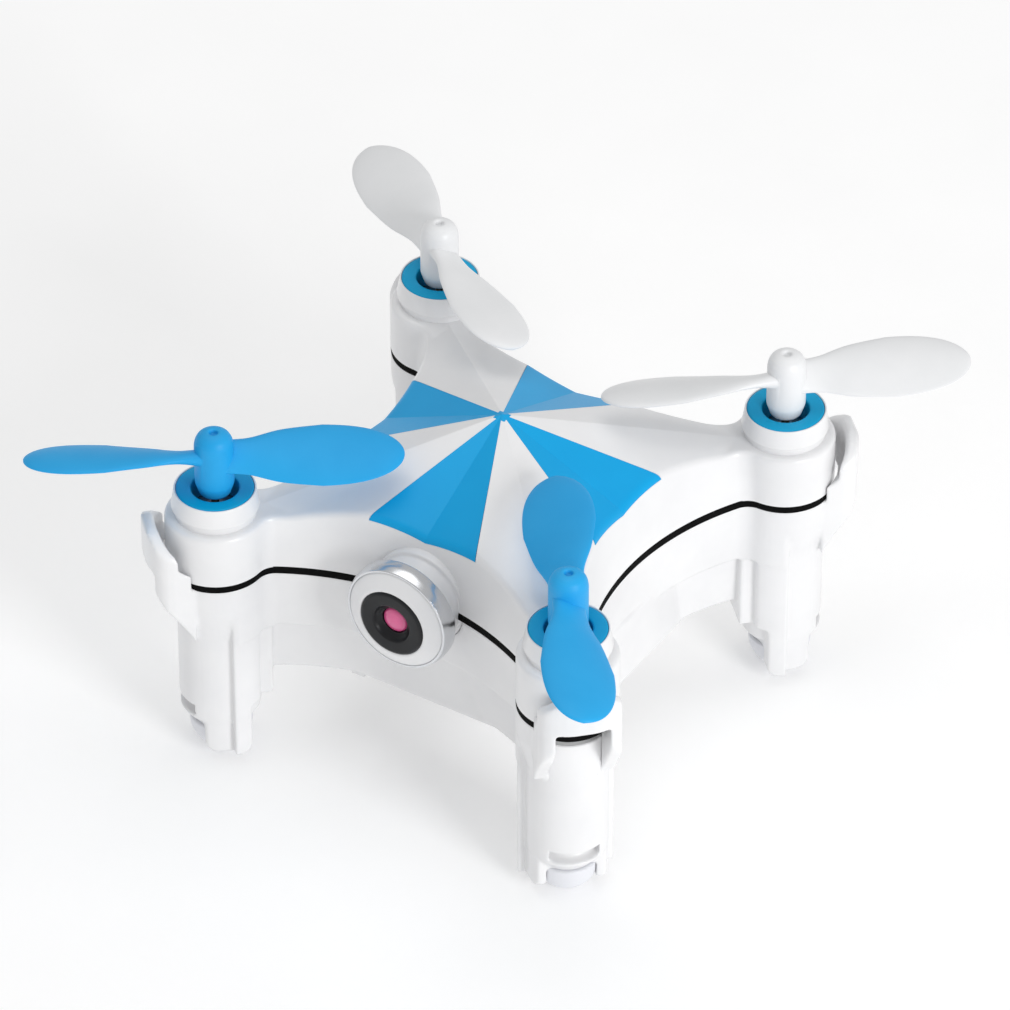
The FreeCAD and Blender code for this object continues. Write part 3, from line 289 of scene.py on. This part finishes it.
def cut(mesh, tools, operation="DIFFERENCE"):
    """The mesh after exact booleans with tool meshes; the tools are removed."""
    subject = bpy.data.objects.new("subject", mesh)
    bpy.context.scene.collection.objects.link(subject)
    helpers = []
    for tool in tools:
        helper = bpy.data.objects.new("tool", tool)
        bpy.context.scene.collection.objects.link(helper)
        modifier = subject.modifiers.new("cut", "BOOLEAN")
        modifier.operation = operation
        modifier.solver = "EXACT"
        modifier.object = helper
        helpers.append(helper)
    bpy.context.view_layer.update()
    graph = bpy.context.evaluated_depsgraph_get()
    result = bpy.data.meshes.new_from_object(subject.evaluated_get(graph))
    for helper in helpers + [subject]:
        bpy.data.objects.remove(helper)
    return result


# ---------------------------------------------------------------- top shell

SEAM = 28.2
SEAM_LOW = 28.65
POD_TOP = 35.7
POD_RADIUS = 6.2
SIDE_RADIUS = 35.6
SIDE_MIDDLE = 18.4
LEAN = 0.15
NECK_FILLET = 2.4
APEX = 44.2
ROOF_SLOPES = [(0.0, 0.448), (math.atan2(7.6, 18.0), 0.353), (math.pi / 4, 0.290)]
RIM_ROUNDING = 0.75
WALL = 1.2
CAMERA_HEIGHT = 28.7
COLLAR_BORE = 5.72


def arc_points(centre, radius, start, end, count):
    """Points along the short way round an arc, without its last point."""
    span = (end - start + math.pi) % (2 * math.pi) - math.pi
    return [
        (centre[0] + radius * math.cos(start + span * k / count),
         centre[1] + radius * math.sin(start + span * k / count))
        for k in range(count)
    ]


def star_outline(height, inset):
    """Plan outline of the body at a height: hollow sides, round pods, hollow fillets."""
    shift = LEAN * (height - SEAM)
    middle = SIDE_MIDDLE - inset - shift
    side = SIDE_RADIUS + inset - shift
    pod_radius = POD_RADIUS - inset
    fillet = NECK_FILLET + inset
    side_centre = (0.0, middle + side)
    pod = (25.0, 25.0)
    gap = math.dist(side_centre, pod)
    along = ((side - fillet) ** 2 - (pod_radius + fillet) ** 2 + gap ** 2) / (2 * gap)
    across = math.sqrt((side - fillet) ** 2 - along ** 2)
    bearing = math.atan2(pod[1] - side_centre[1], pod[0] - side_centre[0])
    bearing -= math.atan2(across, along)
    blend = (side_centre[0] + (side - fillet) * math.cos(bearing),
             side_centre[1] + (side - fillet) * math.sin(bearing))
    side_end = math.atan2(blend[1] - side_centre[1], blend[0] - side_centre[0])
    to_pod = math.atan2(pod[1] - blend[1], pod[0] - blend[0])
    pod_end = to_pod + math.pi
    far = math.pi / 4
    quarter = arc_points(blend, fillet, side_end, to_pod, 10)
    quarter += arc_points(pod, pod_radius, pod_end, far, 26)
    quarter += arc_points(pod, pod_radius, far, 2 * far - pod_end, 26)
    mirrored = (blend[1], blend[0])
    quarter += arc_points(mirrored, fillet, math.pi / 2 - to_pod, math.pi / 2 - side_end, 10)
    side_far = (side_centre[1], side_centre[0])
    start = math.pi / 2 - side_end
    quarter += arc_points(side_far, side, start, -start, 56)
    outline = []
    for turn in range(4):
        a = -turn * math.pi / 2
        outline += [(x * math.cos(a) - y * math.sin(a), x * math.sin(a) + y * math.cos(a))
                    for x, y in quarter]
    return outline


def facet(first, second):
    """Fall of the roof facet between two rays, per millimetre sideways and outwards."""
    (a0, s0), (a1, s1) = first, second
    det = math.sin(a0) * math.cos(a1) - math.cos(a0) * math.sin(a1)
    sideways = (s0 * math.cos(a1) - s1 * math.cos(a0)) / det
    outwards = (math.sin(a0) * s1 - math.sin(a1) * s0) / det
    return sideways, outwards


FACETS = [facet(ROOF_SLOPES[0], ROOF_SLOPES[1]), facet(ROOF_SLOPES[1], ROOF_SLOPES[2])]


def roof(x, y, drop=0.0):
    """Height of the faceted roof, with the flat tops of the pods."""
    side, out = sorted((abs(x), abs(y)))
    inner = math.atan2(side, out) < ROOF_SLOPES[1][0]
    gx, gy = FACETS[0] if inner else FACETS[1]
    return max(APEX - gx * side - gy * out, POD_TOP) - drop


def crease_rays():
    """Directions of the valleys, panel edges and ridges."""
    panel = ROOF_SLOPES[1][0]
    rays = []
    for quarter in range(4):
        base = quarter * math.pi / 2
        for angle in (base, base + panel, base + math.pi / 4, base + math.pi / 2 - panel):
            rays.append((math.sin(angle), math.cos(angle)))
    return rays


def ray_reach(ring, direction):
    """How far a ray from the centre runs before it crosses a ring of plan points."""
    dx, dy = direction
    reach = 0.0
    for (x0, y0), (x1, y1) in zip(ring, ring[1:] + ring[:1]):
        side0 = x0 * dy - y0 * dx
        side1 = x1 * dy - y1 * dx
        if side0 * side1 > 0 or side0 == side1:
            continue
        t = side0 / (side0 - side1)
        along = (x0 + (x1 - x0) * t) * dx + (y0 + (y1 - y0) * t) * dy
        if along > 0:
            reach = along if reach == 0.0 else min(reach, along)
    return reach


def star_body(name, inset=0.0, drop=0.0, low=SEAM_LOW, rounding=RIM_ROUNDING):
    """Closed body under the roof: leaning walls, rounded rim, crisp facets."""
    foot = star_outline(low, inset)
    head = star_outline(APEX, inset)
    count = len(foot)

    def wall(k, z):
        t = (z - low) / (APEX - low)
        return (foot[k][0] + (head[k][0] - foot[k][0]) * t,
                foot[k][1] + (head[k][1] - foot[k][1]) * t)

    rim = []
    for k in range(count):
        below, above = low, APEX
        for _ in range(24):
            z = (below + above) / 2
            if roof(*wall(k, z), drop) > z:
                below = z
            else:
                above = z
        rim.append((*wall(k, z), z))
    columns = []
    for k in range(count):
        ax, ay, _ = rim[k - 1]
        bx, by, _ = rim[(k + 1) % count]
        length = math.hypot(bx - ax, by - ay)
        inward = ((by - ay) / length, -(bx - ax) / length)
        x, y, z = rim[k]
        under = z - rounding
        column = [(*wall(k, low + (under - low) * n / 4), low + (under - low) * n / 4)
                  for n in range(4)]
        start = Vector((*wall(k, under), under))
        corner = Vector((x, y, z))
        qx, qy = x + inward[0] * rounding, y + inward[1] * rounding
        end = Vector((qx, qy, roof(qx, qy, drop)))
        for n in range(8):
            t = n / 7
            point = (1 - t) ** 2 * start + 2 * t * (1 - t) * corner + t * t * end
            column.append(tuple(point))
        far = rounding + 0.35
        qx, qy = x + inward[0] * far, y + inward[1] * far
        column.append((qx, qy, roof(qx, qy, drop)))
        columns.append(column)
    height = len(columns[0])
    points = [p for column in columns for p in column]
    faces = []
    for k in range(count):
        j = (k + 1) % count
        for n in range(height - 1):
            faces.append([j * height + n, k * height + n, k * height + n + 1,
                          j * height + n + 1])
    faces.append([k * height for k in range(count)])
    ring = [column[-1][:2] for column in columns]
    plan = [Vector(p) for p in ring]
    edges = []
    centre = len(plan)
    plan.append(Vector((0.0, 0.0)))
    for ray in crease_rays():
        reach = ray_reach(ring, ray) - 0.15
        edges.append((centre, len(plan)))
        plan.append(Vector((ray[0] * reach, ray[1] * reach)))
    ridge_end = (APEX - POD_TOP) / ROOF_SLOPES[2][1]
    panel_end = (APEX - POD_TOP) / ROOF_SLOPES[1][1]
    for sx, sy in CORNERS.values():
        top = Vector((sx, sy)) * ridge_end * math.sin(math.pi / 4)
        for swap in (False, True):
            side = panel_end * math.sin(ROOF_SLOPES[1][0])
            out = panel_end * math.cos(ROOF_SLOPES[1][0])
            target = Vector((sx * out, sy * side)) if swap else Vector((sx * side, sy * out))
            run = target - top
            reach = segment_reach(ring, top, run) - 0.02
            edges.append((len(plan), len(plan) + 1))
            plan.append(top)
            plan.append(top + run * reach)
    flat = delaunay_2d_cdt(plan, edges, [list(range(centre))], 1, 1e-5)
    shift = len(points)
    points += [(p.x, p.y, roof(p.x, p.y, drop)) for p in flat[0]]
    faces += [[v + shift for v in face] for face in flat[2]]
    mesh = mesh_from(name, points, faces)
    clean(mesh)
    return mesh


def segment_reach(ring, start, run):
    """Fraction of a run from a point at which it crosses a ring."""
    best = 1.0
    for a, b in zip(ring, ring[1:] + ring[:1]):
        ex, ey = b[0] - a[0], b[1] - a[1]
        det = run.x * ey - run.y * ex
        if abs(det) < 1e-12:
            continue
        wx, wy = a[0] - start.x, a[1] - start.y
        t = (wx * ey - wy * ex) / det
        u = (wx * run.y - wy * run.x) / det
        if 0 < t < best and 0 <= u <= 1:
            best = t
    return best


def panel_tool(name, widen, drop):
    """Upright block over the blue panels, its floor below the roof by the drop."""
    top = APEX + 2
    reach = 1.5
    far_side = 7.6 * reach * widen
    far_out = 18.0 * reach
    square = 0.8 * widen

    def block(plan):
        low = [(x, y, roof_facets(x, y) - drop) for x, y in plan]
        high = [(x, y, top) for x, y in plan]
        count = len(plan)
        faces = [[k, (k + 1) % count, count + (k + 1) % count, count + k] for k in range(count)]
        faces += [[0, k + 1, k] for k in range(1, count - 1)]
        faces += [[count, count + k, count + k + 1] for k in range(1, count - 1)]
        mesh = mesh_from(name, low + high, faces)
        clean(mesh, 0.0001)
        return mesh

    def turned_plan(plan, quarter):
        c, s = [(1, 0), (0, 1), (-1, 0), (0, -1)][quarter]
        return [(x * c - y * s, x * s + y * c) for x, y in plan]

    wedge = [(0, 0), (far_side, far_out), (0, far_out), (-far_side, far_out)]
    blocks = [block(turned_plan(wedge, quarter)) for quarter in range(4)]
    corner = [(0, 0), (square, 0), (square, square), (0, square)]
    blocks += [block(turned_plan(corner, quarter)) for quarter in range(4)]
    return cut(blocks[0], blocks[1:], "UNION")


def roof_facets(x, y):
    """Height of the roof's facets alone."""
    side, out = sorted((abs(x), abs(y)))
    inner = math.atan2(side, out) < ROOF_SLOPES[1][0]
    gx, gy = FACETS[0] if inner else FACETS[1]
    return APEX - gx * side - gy * out


def mark_creases(mesh, angle=30.0):
    """Smooth shading, sharp at steep edges and along the roof's rays."""
    smooth(mesh, angle)
    rays = crease_rays()
    for edge in mesh.edges:
        a, b = (mesh.vertices[v].co for v in edge.vertices)
        for dx, dy in rays:
            if abs(a.x * dy - a.y * dx) < 1e-5 and abs(b.x * dy - b.y * dx) < 1e-5:
                edge.use_edge_sharp = True
                break


def shell_tube(radius, low, high, segments=72, x=0.0, y=0.0):
    """Plain closed cylinder mesh used as a cutter."""
    points, faces = lathe([(0, low), (radius, low), (radius, high), (0, high)], segments)
    mesh = mesh_from("bore", [(px + x, py + y, pz) for px, py, pz in points], faces)
    clean(mesh)
    return mesh


def camera_cutter(radius):
    points, faces = lathe([(0, 14.0), (radius, 14.0), (radius, 30.0), (0, 30.0)], 96)
    mesh = mesh_from("camera_bore", facing_front(points), faces)
    clean(mesh)
    return mesh


def collar_profile():
    outline = [
        (3.62, 34.4), (5.0, 34.4), (5.0, 36.55), (5.4, 36.75), (4.98, 39.2), (4.79, 39.2),
        (4.79, 38.02), (3.62, 38.02),
    ]
    return rounded(outline, 0.3)


def add_top_shell():
    outer = star_body("top_shell")
    inner = star_body("inner", WALL, 1.7, SEAM_LOW - 1.0, 0.4)
    bores = [shell_tube(3.6, 30, 37, x=sx * 25, y=sy * 25) for sx, sy in CORNERS.values()]
    recess = panel_tool("recess", 1.005, 0.62)
    mesh = cut(outer.copy(), [inner, recess, camera_cutter(COLLAR_BORE)] + bores)
    clean(mesh, 0.0002)
    work = bmesh.new()
    work.from_mesh(mesh)
    for sx, sy in CORNERS.values():
        points, faces = lathe(collar_profile(), 96)
        extra = mesh_from("collar", placed(points, sx, sy), faces)
        clean(extra)
        work.from_mesh(extra)
    work.to_mesh(mesh)
    work.free()
    mark_creases(mesh)
    new_piece("top_shell_moulding", mesh, "airframe", "white_shell", ["top_shell"])

    panels = cut(outer, [panel_tool("panels", 0.995, 0.58)], "INTERSECT")
    clean(panels, 0.0002)
    mark_creases(panels)
    new_piece("star_panels", panels, "airframe", "blue_panel", ["star_inlay"])


# ---------------------------------------------------------------- lower shell


def remeshed(node, voxel, relax, name):
    """A copy of a CAD node with its edges softened as a mould leaves them."""
    mesh = frame["nodes"][node].data.copy()
    mesh.name = name
    clean(mesh, 0.002)
    subject = bpy.data.objects.new("subject", mesh)
    bpy.context.scene.collection.objects.link(subject)
    remesh = subject.modifiers.new("remesh", "REMESH")
    remesh.mode = "VOXEL"
    remesh.voxel_size = voxel * MM
    remesh.use_smooth_shade = True
    if relax:
        soften = subject.modifiers.new("soften", "SMOOTH")
        soften.factor = 0.5
        soften.iterations = relax
    bpy.context.view_layer.update()
    graph = bpy.context.evaluated_depsgraph_get()
    result = bpy.data.meshes.new_from_object(subject.evaluated_get(graph))
    result.name = name
    bpy.data.objects.remove(subject)
    result.materials.clear()
    return result


def add_lower_shell():
    mesh = remeshed("lower_shell", 0.22, 7, "lower_shell")
    new_piece("lower_shell_moulding", mesh, "airframe", "white_shell", ["lower_shell"])


# ---------------------------------------------------------------- seam band


def bent_panel(inner, outer, low, high, half_width, across):
    """Curved panel about a motor's axis, facing +X, its sides sunk a little."""
    half = math.asin(half_width / outer)
    points = []
    faces = []
    bevel = 0.12
    profile = [(inner, low), (outer - bevel, low), (outer, low + bevel), (outer, high - bevel),
               (outer - bevel, high), (inner, high)]
    for k in range(across + 1):
        a = half * (2 * k / across - 1)
        edge = 0.06 * abs(2 * k / across - 1) ** 4
        for radius, height in profile:
            points.append(((radius - edge) * math.cos(a), (radius - edge) * math.sin(a), height))
    rows = len(profile)
    for k in range(across):
        for n in range(rows):
            m = (n + 1) % rows
            faces.append([k * rows + n, (k + 1) * rows + n, (k + 1) * rows + m, k * rows + m])
    faces.append(list(range(rows)))
    faces.append([across * rows + n for n in range(rows)][::-1])
    return points, faces


def add_seam_band():
    """Black band between the shells, just behind their faces, and below it in front of each pod a black
    lip: painted shade standing in for the shadowed gap under the ear guard.
    """
    steps = [(27.62, 0.12), (27.68, 0.05), (28.2, 0.0), (28.72, 0.05), (28.78, 0.12),
             (28.78, 1.1), (27.62, 1.1)]
    rows = [[(x, y, z) for x, y in star_outline(SEAM, inset)] for z, inset in steps]
    count = len(rows[0])
    points = [p for row in rows for p in row]
    faces = []
    for n in range(len(rows)):
        m = (n + 1) % len(rows)
        for k in range(count):
            j = (k + 1) % count
            faces.append([n * count + j, n * count + k, m * count + k, m * count + j])
    mesh = mesh_from("seam_band", points, faces)
    clean(mesh)
    mesh = cut(mesh, [camera_cutter(COLLAR_BORE)])
    work = bmesh.new()
    work.from_mesh(mesh)
    for sx, sy in CORNERS.values():
        # Painted shade: a black lip below the real black band, put where the gap under each ear guard lies
        # in shadow.
        points, faces = bent_panel(4.6, 5.7, 26.3, 27.9, 3.2, 20)
        shade_lip = mesh_from("shade_lip", placed(points, sx, sy, math.atan2(sy, sx)), faces)
        clean(shade_lip)
        work.from_mesh(shade_lip)
    work.to_mesh(mesh)
    work.free()
    smooth(mesh, 40)
    new_piece("seam_band", mesh, "airframe", "black_band", ["seam_gasket"])


# ---------------------------------------------------------------- turned pieces


def turned_mesh(name, outline, rounding, segments, place):
    """A lathed piece with softened corners, its points moved by place."""
    points, faces = lathe(rounded(outline, rounding, 5), segments)
    mesh = mesh_from(name, place(points), faces)
    clean(mesh)
    smooth(mesh, 50)
    return mesh


def add_motor_rings():
    outline = [(2.9, 35.9), (3.5, 35.9), (3.5, 38.0), (4.76, 38.0), (4.76, 39.24), (2.9, 39.24)]
    for corner, (sx, sy) in CORNERS.items():
        mesh = turned_mesh("motor_ring", outline, 0.3, 96, lambda p, a=sx, b=sy: placed(p, a, b))
        new_piece("ring_" + corner, mesh, "airframe", "blue_ring", ["motor_ring_" + corner])


def add_camera_pieces():
    collar = [(4.7, 15.7), (6.28, 15.7), (6.28, 18.5), (5.68, 18.6), (5.68, 21.9), (4.7, 21.9)]
    trim = [(6.55, 21.5), (7.1, 21.5), (7.16, 22.8), (6.9, 23.85), (6.55, 23.85)]
    bezel = [(4.4, 21.9), (5.7, 21.6), (6.58, 21.6), (6.58, 23.8), (5.9, 24.25), (4.8, 24.75),
             (4.4, 24.75)]
    lens = [
        (0, 17.5), (3.2, 17.5), (3.2, 21.9), (4.39, 21.9), (4.39, 24.8), (4.1, 24.95),
        (2.6, 24.9), (2.35, 24.5), (1.9, 24.1), (1.75, 24.05), (1.72, 22.9), (0, 22.9),
    ]
    pupil = [(0, 22.9), (1.7, 22.9), (1.7, 23.8), (1.5, 24.05), (1.1, 24.2), (0.5, 24.28),
             (0, 24.3)]
    for name, outline, rounding, slot, node in (
        ("collar_tube", collar, 0.3, "white_shell", "camera_collar"),
        ("chrome_trim", trim, 0.3, "chrome_trim", "camera_chrome_ring"),
        ("lens_bezel", bezel, 0.3, "white_shell", "camera_bezel"),
        ("lens_mount", lens, 0.14, "lens_black", "camera_lens_mount"),
        ("pupil", pupil, 0.1, "lens_pink", "camera_lens"),
    ):
        mesh = turned_mesh(name, outline, rounding, 128, facing_front)
        new_piece(name, mesh, "airframe", slot, [node])


# ---------------------------------------------------------------- propellers

BLADE_HEIGHT = 43.7
BLADE_STATIONS = [          # radius, chord, thickness, pitch in degrees
    (1.0, 4.4, 2.3, 31),
    (2.6, 4.5, 1.7, 29),
    (4.4, 5.0, 1.3, 27),
    (8.0, 7.3, 1.1, 22),
    (13.0, 9.0, 0.9, 17),
]
BLADE_END = 22.85
BLADES = {                  # rest angle, sense of rotation
    "front_right": (34.0, 1),
    "front_left": (126.5, -1),
    "rear_left": (42.3, 1),
    "rear_right": (146.0, -1),
}


def blade_station(radius):
    """Chord, thickness and pitch at a radius, eased between the stations."""
    last = BLADE_STATIONS[-1]
    if radius >= last[0]:
        t = (radius - last[0]) / (BLADE_END - last[0])
        fall = math.sqrt(max(1 - t ** 2.6, 0.0))
        return last[1] * max(fall, 0.03), last[2] * (0.3 + 0.7 * fall), last[3] - 6.0 * t
    for i in range(len(BLADE_STATIONS) - 1):
        if radius <= BLADE_STATIONS[i + 1][0]:
            break
    rows = [BLADE_STATIONS[max(i - 1, 0)], BLADE_STATIONS[i], BLADE_STATIONS[i + 1],
            BLADE_STATIONS[min(i + 2, len(BLADE_STATIONS) - 1)]]
    span = rows[2][0] - rows[1][0]
    t = (radius - rows[1][0]) / span
    values = []
    for k in (1, 2, 3):
        slope1 = (rows[2][k] - rows[0][k]) / (rows[2][0] - rows[0][0]) * span
        slope2 = (rows[3][k] - rows[1][k]) / (rows[3][0] - rows[1][0]) * span
        values.append(
            (2 * t**3 - 3 * t * t + 1) * rows[1][k] + (t**3 - 2 * t * t + t) * slope1
            + (3 * t * t - 2 * t**3) * rows[2][k] + (t**3 - t * t) * slope2
        )
    return tuple(values)


def blade_mesh(turn):
    """One closed blade: cambered sections, thick at the root, rounded at the tip."""
    reach = BLADE_STATIONS[-1][0]
    radii = [1.0 + (reach - 1.0) * k / 20 for k in range(21)]
    tip = BLADE_END - reach
    radii += [reach + tip * math.sin(math.pi / 2 * k / 22) for k in range(1, 23)]
    around = 32
    points = []
    for radius in radii:
        chord, thickness, pitch = blade_station(radius)
        cos_p, sin_p = math.cos(math.radians(pitch)), math.sin(math.radians(pitch))
        camber = 0.055 * chord * min((radius - 1) / 6, 1)
        for k in range(around):
            a = 2 * math.pi * k / around
            along = math.cos(a)
            y = chord / 2 * along
            z = thickness / 2 * math.sin(a) * (1 + 0.28 * along)
            z += camber * (1 - along * along)
            points.append((radius, y * cos_p - z * sin_p, y * sin_p + z * cos_p + BLADE_HEIGHT))
    faces = []
    for n in range(len(radii) - 1):
        for k in range(around):
            j = (k + 1) % around
            faces.append([n * around + k, n * around + j, (n + 1) * around + j,
                          (n + 1) * around + k])
    faces.append(list(range(around))[::-1])
    faces.append([(len(radii) - 1) * around + k for k in range(around)])
    c, s = math.cos(turn), math.sin(turn)
    mesh = mesh_from("blade", [(x * c - y * s, x * s + y * c, z) for x, y, z in points], faces)
    clean(mesh)
    return mesh


def hub_mesh():
    outline = [
        (0, 38.6), (1.9, 38.6), (2.4, 40.2), (2.4, 45.6), (2.28, 46.3), (1.95, 46.95),
        (1.4, 47.35), (0.85, 47.5), (0.55, 47.45), (0.42, 46.95), (0, 46.9),
    ]
    points, faces = lathe(rounded(outline, 0.25, 4), 72)
    mesh = mesh_from("hub", points, faces)
    clean(mesh)
    return mesh


def add_propellers():
    for corner, (sx, sy) in CORNERS.items():
        angle, sense = BLADES[corner]
        mesh = cut(hub_mesh(), [blade_mesh(0.0), blade_mesh(math.pi)], "UNION")
        mesh = cut(mesh, [shell_tube(0.5, 37.0, 45.9, 24)])
        c, s = math.cos(math.radians(angle)), math.sin(math.radians(angle))
        for vertex in mesh.vertices:
            x, y = vertex.co.x, vertex.co.y * sense
            vertex.co.x = x * c - y * s + sx * 25 * MM
            vertex.co.y = x * s + y * c + sy * 25 * MM
        clean(mesh, 0.002)
        smooth(mesh, 40)
        colour = "blue_blade" if corner.startswith("front") else "white_blade"
        new_piece("rotor_blades_" + corner, mesh, "rotor_" + corner, colour,
                  ["propeller_" + corner])


# ---------------------------------------------------------------- legs and belly


def add_leg_pieces():
    for corner, (sx, sy) in CORNERS.items():
        points, faces = bent_panel(4.25, 5.04, 8.3, 25.15, 4.1, 36)
        mesh = mesh_from("cover", placed(points, sx, sy, math.atan2(sy, sx)), faces)
        clean(mesh)
        smooth(mesh, 40)
        new_piece("cover_" + corner, mesh, "airframe", "white_shell", ["leg_cover_" + corner])
        lens = remeshed("foot_lens_" + corner, 0.16, 4, "foot_lens")
        new_piece("foot_" + corner, lens, "airframe", "frosted_lens", ["foot_lens_" + corner])


def add_door():
    mesh = remeshed("battery_door", 0.2, 1, "door")
    new_piece("door_moulding", mesh, "battery_door", "white_shell", ["battery_door"])


# ---------------------------------------------------------------- stage

# Camera, aimed at a point on the front of the body, at the height of the belly.
VIEW_AZIMUTH = math.radians(32.34)
VIEW_ELEVATION = math.radians(37.91)
VIEW_DISTANCE = 946.3 * MM
VIEW_FOCAL = 279.1
VIEW_CENTRE = Vector((0, 0, 39.2 * MM))
VIEW_SIDEWAYS = 0.34 * MM
VIEW_DOWN = 7.02 * MM


def add_camera():
    back = Vector((
        math.cos(VIEW_ELEVATION) * math.sin(VIEW_AZIMUTH),
        -math.cos(VIEW_ELEVATION) * math.cos(VIEW_AZIMUTH),
        math.sin(VIEW_ELEVATION),
    ))
    right = Vector((math.cos(VIEW_AZIMUTH), math.sin(VIEW_AZIMUTH), 0))
    up = back.cross(right)
    target = VIEW_CENTRE + right * VIEW_SIDEWAYS - up * VIEW_DOWN
    data = bpy.data.cameras.new("camera")
    data.lens = VIEW_FOCAL
    data.sensor_width = 36
    data.clip_start = 0.01
    data.clip_end = 20
    camera = bpy.data.objects.new("camera", data)
    bpy.context.scene.collection.objects.link(camera)
    camera.location = VIEW_CENTRE + back * VIEW_DISTANCE
    camera.rotation_mode = "QUATERNION"
    camera.rotation_quaternion = (target - camera.location).to_track_quat("-Z", "Y")
    bpy.context.scene.camera = camera


def add_area_light(name, location, target, size, power):
    data = bpy.data.lights.new(name, "AREA")
    data.shape = "SQUARE"
    data.size = size
    data.energy = power
    light = bpy.data.objects.new(name, data)
    bpy.context.scene.collection.objects.link(light)
    light.location = location
    aim = Vector(target) - Vector(location)
    light.rotation_mode = "QUATERNION"
    light.rotation_quaternion = aim.to_track_quat("-Z", "Y")
    return light


def add_floor():
    """A wide pale floor."""
    size = 6.0
    mesh = bpy.data.meshes.new("floor")
    half = size / 2
    corners = [(-half, -half, 0), (half, -half, 0), (half, half, 0), (-half, half, 0)]
    mesh.from_pydata(corners, [], [(0, 1, 2, 3)])
    floor = bpy.data.objects.new("floor", mesh)
    bpy.context.scene.collection.objects.link(floor)
    material, tree, shader = new_material("floor_white")
    grain = add_noise(tree, 40)
    tree.links.new(ramp(tree, grain.outputs["Fac"], [(0.3, (0.93, 0.93, 0.93)), (0.7, (0.95, 0.95, 0.95))]),
                   shader.inputs["Base Color"])
    shader.inputs["Roughness"].default_value = 0.9
    shader.inputs["Specular IOR Level"].default_value = 0.0
    shader.inputs["Emission Color"].default_value = (1, 1, 1, 1)
    shader.inputs["Emission Strength"].default_value = 0.16
    mesh.materials.append(material)


def add_lights():
    world = bpy.data.worlds.new("world")
    world.use_nodes = True
    background = world.node_tree.nodes["Background"]
    background.inputs["Color"].default_value = (1, 1, 1, 1)
    background.inputs["Strength"].default_value = 0.55
    bpy.context.scene.world = world
    add_area_light("key", (0.85, -0.30, 0.36), (0, 0, 0.02), 0.3, 4.0)
    add_area_light("top", (-0.1, 0.1, 1.0), (0, 0, 0.02), 0.8, 2.2)
    bpy.context.scene.view_settings.view_transform = "Standard"


dress_cad_nodes()
add_top_shell()
add_lower_shell()
add_seam_band()
add_motor_rings()
add_camera_pieces()
add_propellers()
add_leg_pieces()
add_door()
add_camera()
add_floor()
add_lights()
